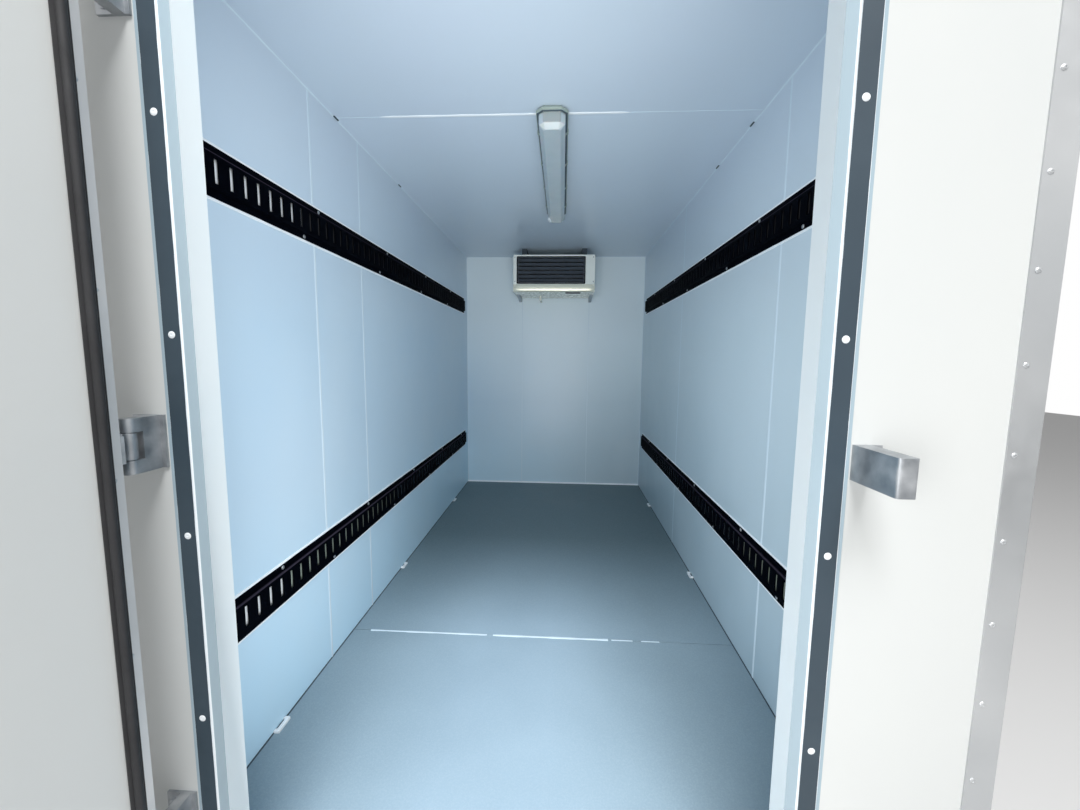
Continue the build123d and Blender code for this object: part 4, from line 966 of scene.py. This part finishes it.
bulb_arc = np.linspace(radians(-32), radians(212), 15)
bulb = bulb_radius * np.stack([np.cos(bulb_arc), 1 + np.sin(bulb_arc)], axis=-1)
foot_right = [[foot_half, -0.0003], [foot_half, foot_height]]
foot_left = [[-foot_half, foot_height], [-foot_half, -0.0003]]
door_section = np.concatenate([foot_right, bulb, foot_left])
seal_middle = ((seal_near + seal_far) / 2, leaf_half, (seal_low + seal_high) / 2)
seal_path, seal_out = rounded_loop(
    seal_middle, seal_far - seal_near, seal_high - seal_low, 0.016, (1, 0, 0), (0, 0, 1), count=7
)
door_gasket = hang(swept(door_section, seal_path, seal_out, (0, 1, 0), closed=True))
gasket = piece("door_gasket", door_gasket, "seal_dark", "door")
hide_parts("door_seal")

# %% Fasteners of the door
edge_inset, edge_end = 0.013, 0.12
edge_rivet = blind_rivet(0.0045, 0.0018, 8)
edge_levels = np.arange(leaf_low + 0.09, leaf_high - 0.05, 0.3)
edge_along = np.linspace(leaf_near + edge_end, leaf_far - edge_end, 5)
edge_ends = (leaf_near + edge_inset, leaf_far - edge_inset)
edge_tops = (leaf_low + edge_inset, leaf_high - edge_inset)
edge_rows = []
for way in (-1, 1):
    for x, z in ((edge_ends, edge_levels), (edge_along, edge_tops)):
        edge_rows.append(copies(edge_rivet, grid(x, way * leaf_half, z), facing((0, way, 0))))
piece("door_edge_rivets", hang(joined(edge_rows)), "alloy", "door")

hinge_bolt = hexagon_bolt(0.0068, 0.0058)
bracket_low, bracket_high = corners("hinge_brackets")
hinge_half, strap_sheet, plate_sheet, plate_edge = 0.048, 0.005, 0.005, -0.661
strap_columns, plate_drops = (0.062, 0.104, 0.146), (-0.03, 0.03)
hinge_middles = np.linspace(bracket_low[2] + hinge_half, bracket_high[2] - hinge_half, 3)
strap_places = grid(strap_columns, -leaf_half - strap_sheet, hinge_middles)
piece("hinge_strap_bolts", hang(copies(hinge_bolt, strap_places, facing((0, -1, 0)))), "zinc_steel", "door")
plate_levels = np.add.outer(hinge_middles, plate_drops)
plate_places = grid((bracket_low[0] + plate_edge) / 2, back_y - plate_sheet, plate_levels)
fastened("hinge_plate_bolts", hinge_bolt, plate_places, (0, -1, 0))

latch_x, latch_z, latch_face, lever_face, release_reach = 1.151, 1.238, -0.065, -0.077, 0.11
latch_columns, latch_levels = latch_x + np.array((-0.024, 0.024)), latch_z + np.array((-0.056, 0.056))
latch_places = grid(latch_columns, latch_face, latch_levels)
latch_screws = copies(pan_screw(0.0052, 0.0022), latch_places, facing((0, -1, 0)))
spindle = turned(np.array([13, 13, 12, 9, 4, 1]) / 1000, np.array([-0.5, 1.6, 2.8, 3.6, 4.1, 4.2]) / 1000, 24)
spindle_cap = copies(spindle, (latch_x, lever_face, latch_z), facing((0, -1, 0)))
piece("latch_screws", hang(joined([latch_screws, spindle_cap])), "latch_chrome", "door")
release_columns = latch_x - release_reach + np.array((-0.021, 0.021))
release_places = grid(release_columns, leaf_half + 0.0015, latch_z + np.array((-0.013, 0.013)))
release_screws = copies(pan_screw(0.0036, 0.0016), release_places, facing((0, 1, 0)))
piece("release_screws", hang(release_screws), "zinc_steel", "door")
keeper_low, keeper_high = corners("latch_keeper")
keeper_levels = (keeper_low[2] + 0.015, keeper_high[2] - 0.015)
keeper_places = grid(keeper_high[0] - 0.010, back_y - 0.006, keeper_levels)
fastened("keeper_bolts", hexagon_bolt(0.0055, 0.005), keeper_places, (0, -1, 0))

# %% [markdown]
# The condensing unit stands outside on the bulkhead. Its guard is welded wire, gently domed, and every
# vent has a pressed hood that keeps rain out. A hood is an arched section whose size falls to nothing at
# both ends, as the sheet does where the tool has not cut it.

# %% Condensing unit
housing_low, housing_high = corners("unit_housing")
unit_front = housing_high[1]
fan_x, fan_z = -0.170, (housing_low[2] + housing_high[2]) / 2
guard_reach, guard_dome, guard_wire, spoke_lift = 0.166, 0.007, 0.0018, 0.0032
guard_shapes = []
for share in np.linspace(0.16, 1, 8):
    depth = unit_front + guard_wire + guard_dome * (1 - share**2)
    count = int(20 + 32 * share)
    path, out = ring((fan_x, depth, fan_z), guard_reach * share, (1, 0, 0), (0, 0, 1), count)
    guard_shapes.append(swept(round_wire(guard_wire, 6), path, out, (0, -1, 0), closed=True))
spoke_share = np.linspace(-1.08, 1.08, 19)
depth = unit_front + spoke_lift + guard_dome * np.maximum(1 - spoke_share**2, -0.2)
for turn in np.arange(4) * pi / 4 + pi / 8:
    way = np.array((cos(turn), 0, sin(turn)))
    path = (fan_x, 0, fan_z) + guard_reach * spoke_share[:, None] * way + depth[:, None] * (0, 1, 0)
    guard_shapes.append(swept(round_wire(guard_wire, 6), path, np.cross((0, 1, 0), way), (0, 1, 0)))
hub_rings, hub_rises = np.array([27, 27, 25, 18, 8, 1]) / 1000, np.array([-1, 0.4, 1.2, 2.0, 2.4, 2.5]) / 1000
hub_place = (fan_x, unit_front + guard_dome + 0.004, fan_z)
guard_shapes.append(copies(turned(hub_rings, hub_rises, 28), hub_place, facing((0, 1, 0))))
guard = piece("fan_guard_wires", joined(guard_shapes), "rail_black")
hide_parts("fan_guard")

hood_arc = np.linspace(0, pi / 2, 6)
hood_outer, hood_inner = (
    np.stack([depth * np.sin(hood_arc), height * np.cos(hood_arc) - 0.004], axis=-1)
    for depth, height in ((0.0095, 0.021), (0.0080, 0.019))
)
hood_section = np.concatenate([hood_inner[::-1], hood_outer])
vent_pitch, vent_count, vent_half, vent_middle = 0.034, 9, 0.118, 1.8275
hood_share = np.linspace(-1, 1, 15)
hood_sizes = np.maximum(1 - hood_share**8, 0.02) ** 0.5
vent_levels = fan_z + (np.arange(vent_count) - (vent_count - 1) / 2) * vent_pitch
side_vents = [((x, vent_middle), (side, 0, 0)) for x, side in ((housing_low[0], -1), (housing_high[0], 1))]
hood_rows = []
for (vent_x, vent_y), out in [((0.220, unit_front), (0, 1, 0)), *side_vents]:
    for level in vent_levels:
        way = vent_half * hood_share[:, None] * np.cross(out, (0, 0, 1))
        path = np.array((vent_x, vent_y, level + 0.002)) + way
        hood_rows.append(swept(hood_section, path, out, (0, 0, 1), sizes=hood_sizes))
piece("vent_hoods", joined(hood_rows), "casing_white")

unit_screw = pan_screw(0.006, 0.0026)
front_x = (housing_low[0] + 0.022, 0.055, housing_high[0] - 0.022)
front_levels = (housing_low[2] + 0.02, housing_high[2] - 0.02)
side_levels = (housing_low[2] + 0.03, housing_high[2] - 0.03)
side_lines, top_lines, top_columns = (1.70, 1.955), (1.69, 1.965), np.linspace(-0.34, 0.34, 4)
unit_faces = (
    ((0, 1, 0), grid(front_x, unit_front, front_levels)),
    ((-1, 0, 0), grid(housing_low[0], side_lines, side_levels)),
    ((1, 0, 0), grid(housing_high[0], side_lines, side_levels)),
    ((0, 0, 1), grid(top_columns, top_lines, housing_high[2])),
)
unit_rows = [copies(unit_screw, places, facing(out)) for out, places in unit_faces]
piece("unit_screws", joined(unit_rows), "zinc_steel")

bracket_sheet, bracket_columns = 0.004, np.add.outer((-0.330, 0.330), (-0.0115, 0.0115))
unit_levels = corners("unit_brackets")[0][2] + np.array((0.03, 0.12, 0.20))
unit_places = grid(bracket_columns, front_y + bracket_sheet, unit_levels)
fastened("unit_bracket_bolts", hexagon_bolt(0.0055, 0.0052), unit_places, (0, 1, 0))

compressor_low, compressor_high = corners("unit_compressor")
shell_x, shell_y, _ = (compressor_low + compressor_high) / 2
shell_radius, shell_height = compressor_high[0] - shell_x, compressor_high[2] - compressor_low[2]
arc, dome = np.linspace(0, pi / 2, 8), 0.055
low_rings, low_levels = shell_radius * np.sin(arc[2:]), dome * (1 - np.cos(arc[2:]))
top_rings, top_levels = shell_radius * np.cos(arc[1:-1]), shell_height - dome + dome * np.sin(arc[:-1])
shell_rings = np.concatenate([[0.06], low_rings, [shell_radius] * 3, top_rings, [0.01]])
belt_levels = [shell_height * 0.52, shell_height * 0.54]
shell_levels = np.concatenate([[0], low_levels, belt_levels, top_levels, [shell_height]])
shell = turned(shell_rings, shell_levels, 40)
compressor_shell = copies(shell, (shell_x, shell_y, compressor_low[2]))
compressor = piece("compressor_shell", compressor_shell, "rail_black")
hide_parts("unit_compressor")

# %% [markdown]
# Outside, alloy angles cover every edge of the body. They are blind-riveted through both legs at an even
# pitch and the legs' edges are closed with sealant. A line along a face's edge is the same on every face:
# it lies a little in from the edge along one axis and runs along the next, so one function gives them all.

# %% Rivets and sealant of the edge profiles
profile_inset, profile_leg, rivet_pitch, cap_reach, cap_inset = 0.040, 0.0525, 0.15, 0.085, 0.03
cap_low, cap_high = corners("corner_caps")
post_low, post_high = corners("corner_posts")
box_low = np.array((post_low[0], post_low[1], corners("floor_edge_profiles")[0][2]))
box_high = np.array((post_high[0], post_high[1], corners("roof_edge_profiles")[1][2]))


def edge_lines(axis, level, inset, reach):
    """The four lines along the edges of one face of the box, which is at level along its axis. Each is
    its start, its end and the way from its edge into the face, and reach is what its ends leave free."""
    for across in [other for other in range(3) if other != axis]:
        along = 3 - axis - across
        for way, edge in ((1, box_low), (-1, box_high)):
            ends = np.zeros((2, 3))
            ends[:, axis] = level
            ends[:, across] = edge[across] + way * inset
            ends[:, along] = box_low[along] + reach, box_high[along] - reach
            yield *ends, way * np.eye(3)[across]


profile_rivet, leg_fillet = blind_rivet(0.0052, 0.0022, 8), fillet(0.0024, 0.005)
profile_rows, leg_rows, seam_rows = [], [], []
for axis, side in ((0, -1), (0, 1), (1, -1), (1, 1), (2, 1)):
    out = side * np.eye(3)[axis]
    level = (box_low if side < 0 else box_high)[axis]
    for start, end, _ in edge_lines(axis, level, profile_inset, cap_reach):
        count = int(round(np.linalg.norm(end - start) / rivet_pitch)) + 1
        places = start + (end - start) * np.linspace(0, 1, count)[:, None]
        profile_rows.append(copies(profile_rivet, places, facing(out)))
for axis, side, level in ((0, -1, -skin_x), (0, 1, skin_x), (1, 1, front_y), (2, 1, roof_z)):
    out = side * np.eye(3)[axis]
    for start, end, inward in edge_lines(axis, level, profile_leg, profile_leg):
        leg_rows.append((start, end, out, inward))
low_x, _, low_z = box_low + profile_leg
high_x, _, high_z = box_high - profile_leg
for side_name, side in sides:
    for seam_y in np.stack(corners(f"wall_{side_name}_middle"))[:, 1]:
        seam_rows.append(upright(side * skin_x, seam_y, low_z, high_z, (0, 1, 0), (side, 0, 0)))
for seam_x in (bulkhead_low[0], bulkhead_high[0]):
    seam_rows.append(upright(seam_x, front_y, low_z, high_z, (1, 0, 0), (0, 1, 0)))
seam_rows.append(((low_x, ceiling_seam, roof_z), (high_x, ceiling_seam, roof_z), (0, 1, 0), (0, 0, 1)))
for signs in grid((-1, 1), (-1, 1), (-1, 1)):
    cap_corner = np.where(signs < 0, cap_low, cap_high)
    for out in np.diag(signs):
        place = cap_corner - cap_inset * (signs - out)
        profile_rows.append(copies(profile_rivet, place, facing(out)))
piece("profile_rivets", joined(profile_rows), "alloy")
leg_shapes = [runs(leg_fillet, leg_rows, spacing=0.08), runs(seal_bead, seam_rows, spacing=0.08)]
sealant("profile_sealant", joined(leg_shapes))

# %% Bolts under the floor, screws of the sill, clips in the ceiling's corners
bearer_low, bearer_high = corners("cross_bearers")
bearer_count, bearer_half, foot_middle, foot_sheet = 8, 0.050, 0.0375, 0.003
bolt_columns = (-0.74, -0.25, 0.25, 0.74)
bearer_lines = np.linspace(bearer_low[1] + bearer_half, bearer_high[1] - bearer_half, bearer_count)
foot_lines = np.add.outer(bearer_lines, (-foot_middle, foot_middle))
under_places = grid(bolt_columns, foot_lines, base_z - foot_sheet)
fastened("bearer_bolts", hexagon_bolt(0.0062, 0.0055), under_places, (0, 0, -1))
sill_low, sill_high = corners("door_sill")
sill_line = np.linspace(sill_low[0] + 0.06, sill_high[0] - 0.06, 6)
sill_places = grid(sill_line, (sill_low[1] + sill_high[1]) / 2, sill_high[2])
fastened("sill_screws", pan_screw(0.0052, 0.0018), sill_places, (0, 0, 1))

mark_half, mark_places = 0.016, ((-0.796, -0.67), (-0.796, -0.02), (0.796, -0.20), (0.796, -0.575))
mark_rows = [
    ((x, y - mark_half, ceiling_z), (x, y + mark_half, ceiling_z), (1, 0, 0), (0, 0, -1))
    for x, y in mark_places
]
piece("ceiling_corner_clips", runs(low_bead(0.007, 0.0035), mark_rows, sway=0), "strip_grey")

# %% Floor of the room that the body stands in
floor_reach = 14.0
stage_finish = plain("pale_floor", (0.82, 0.82, 0.82, 1), 0.9)
stage_mesh = bpy.data.meshes.new("pale_floor")
stage_corners = grid((-floor_reach, floor_reach), (-floor_reach, floor_reach), 0)
stage_mesh.from_pydata(stage_corners.tolist(), [], [(0, 2, 3, 1)])
stage_mesh.materials.append(stage_finish)
stage = bpy.data.objects.new("pale_floor", stage_mesh)
bpy.context.scene.collection.objects.link(stage)
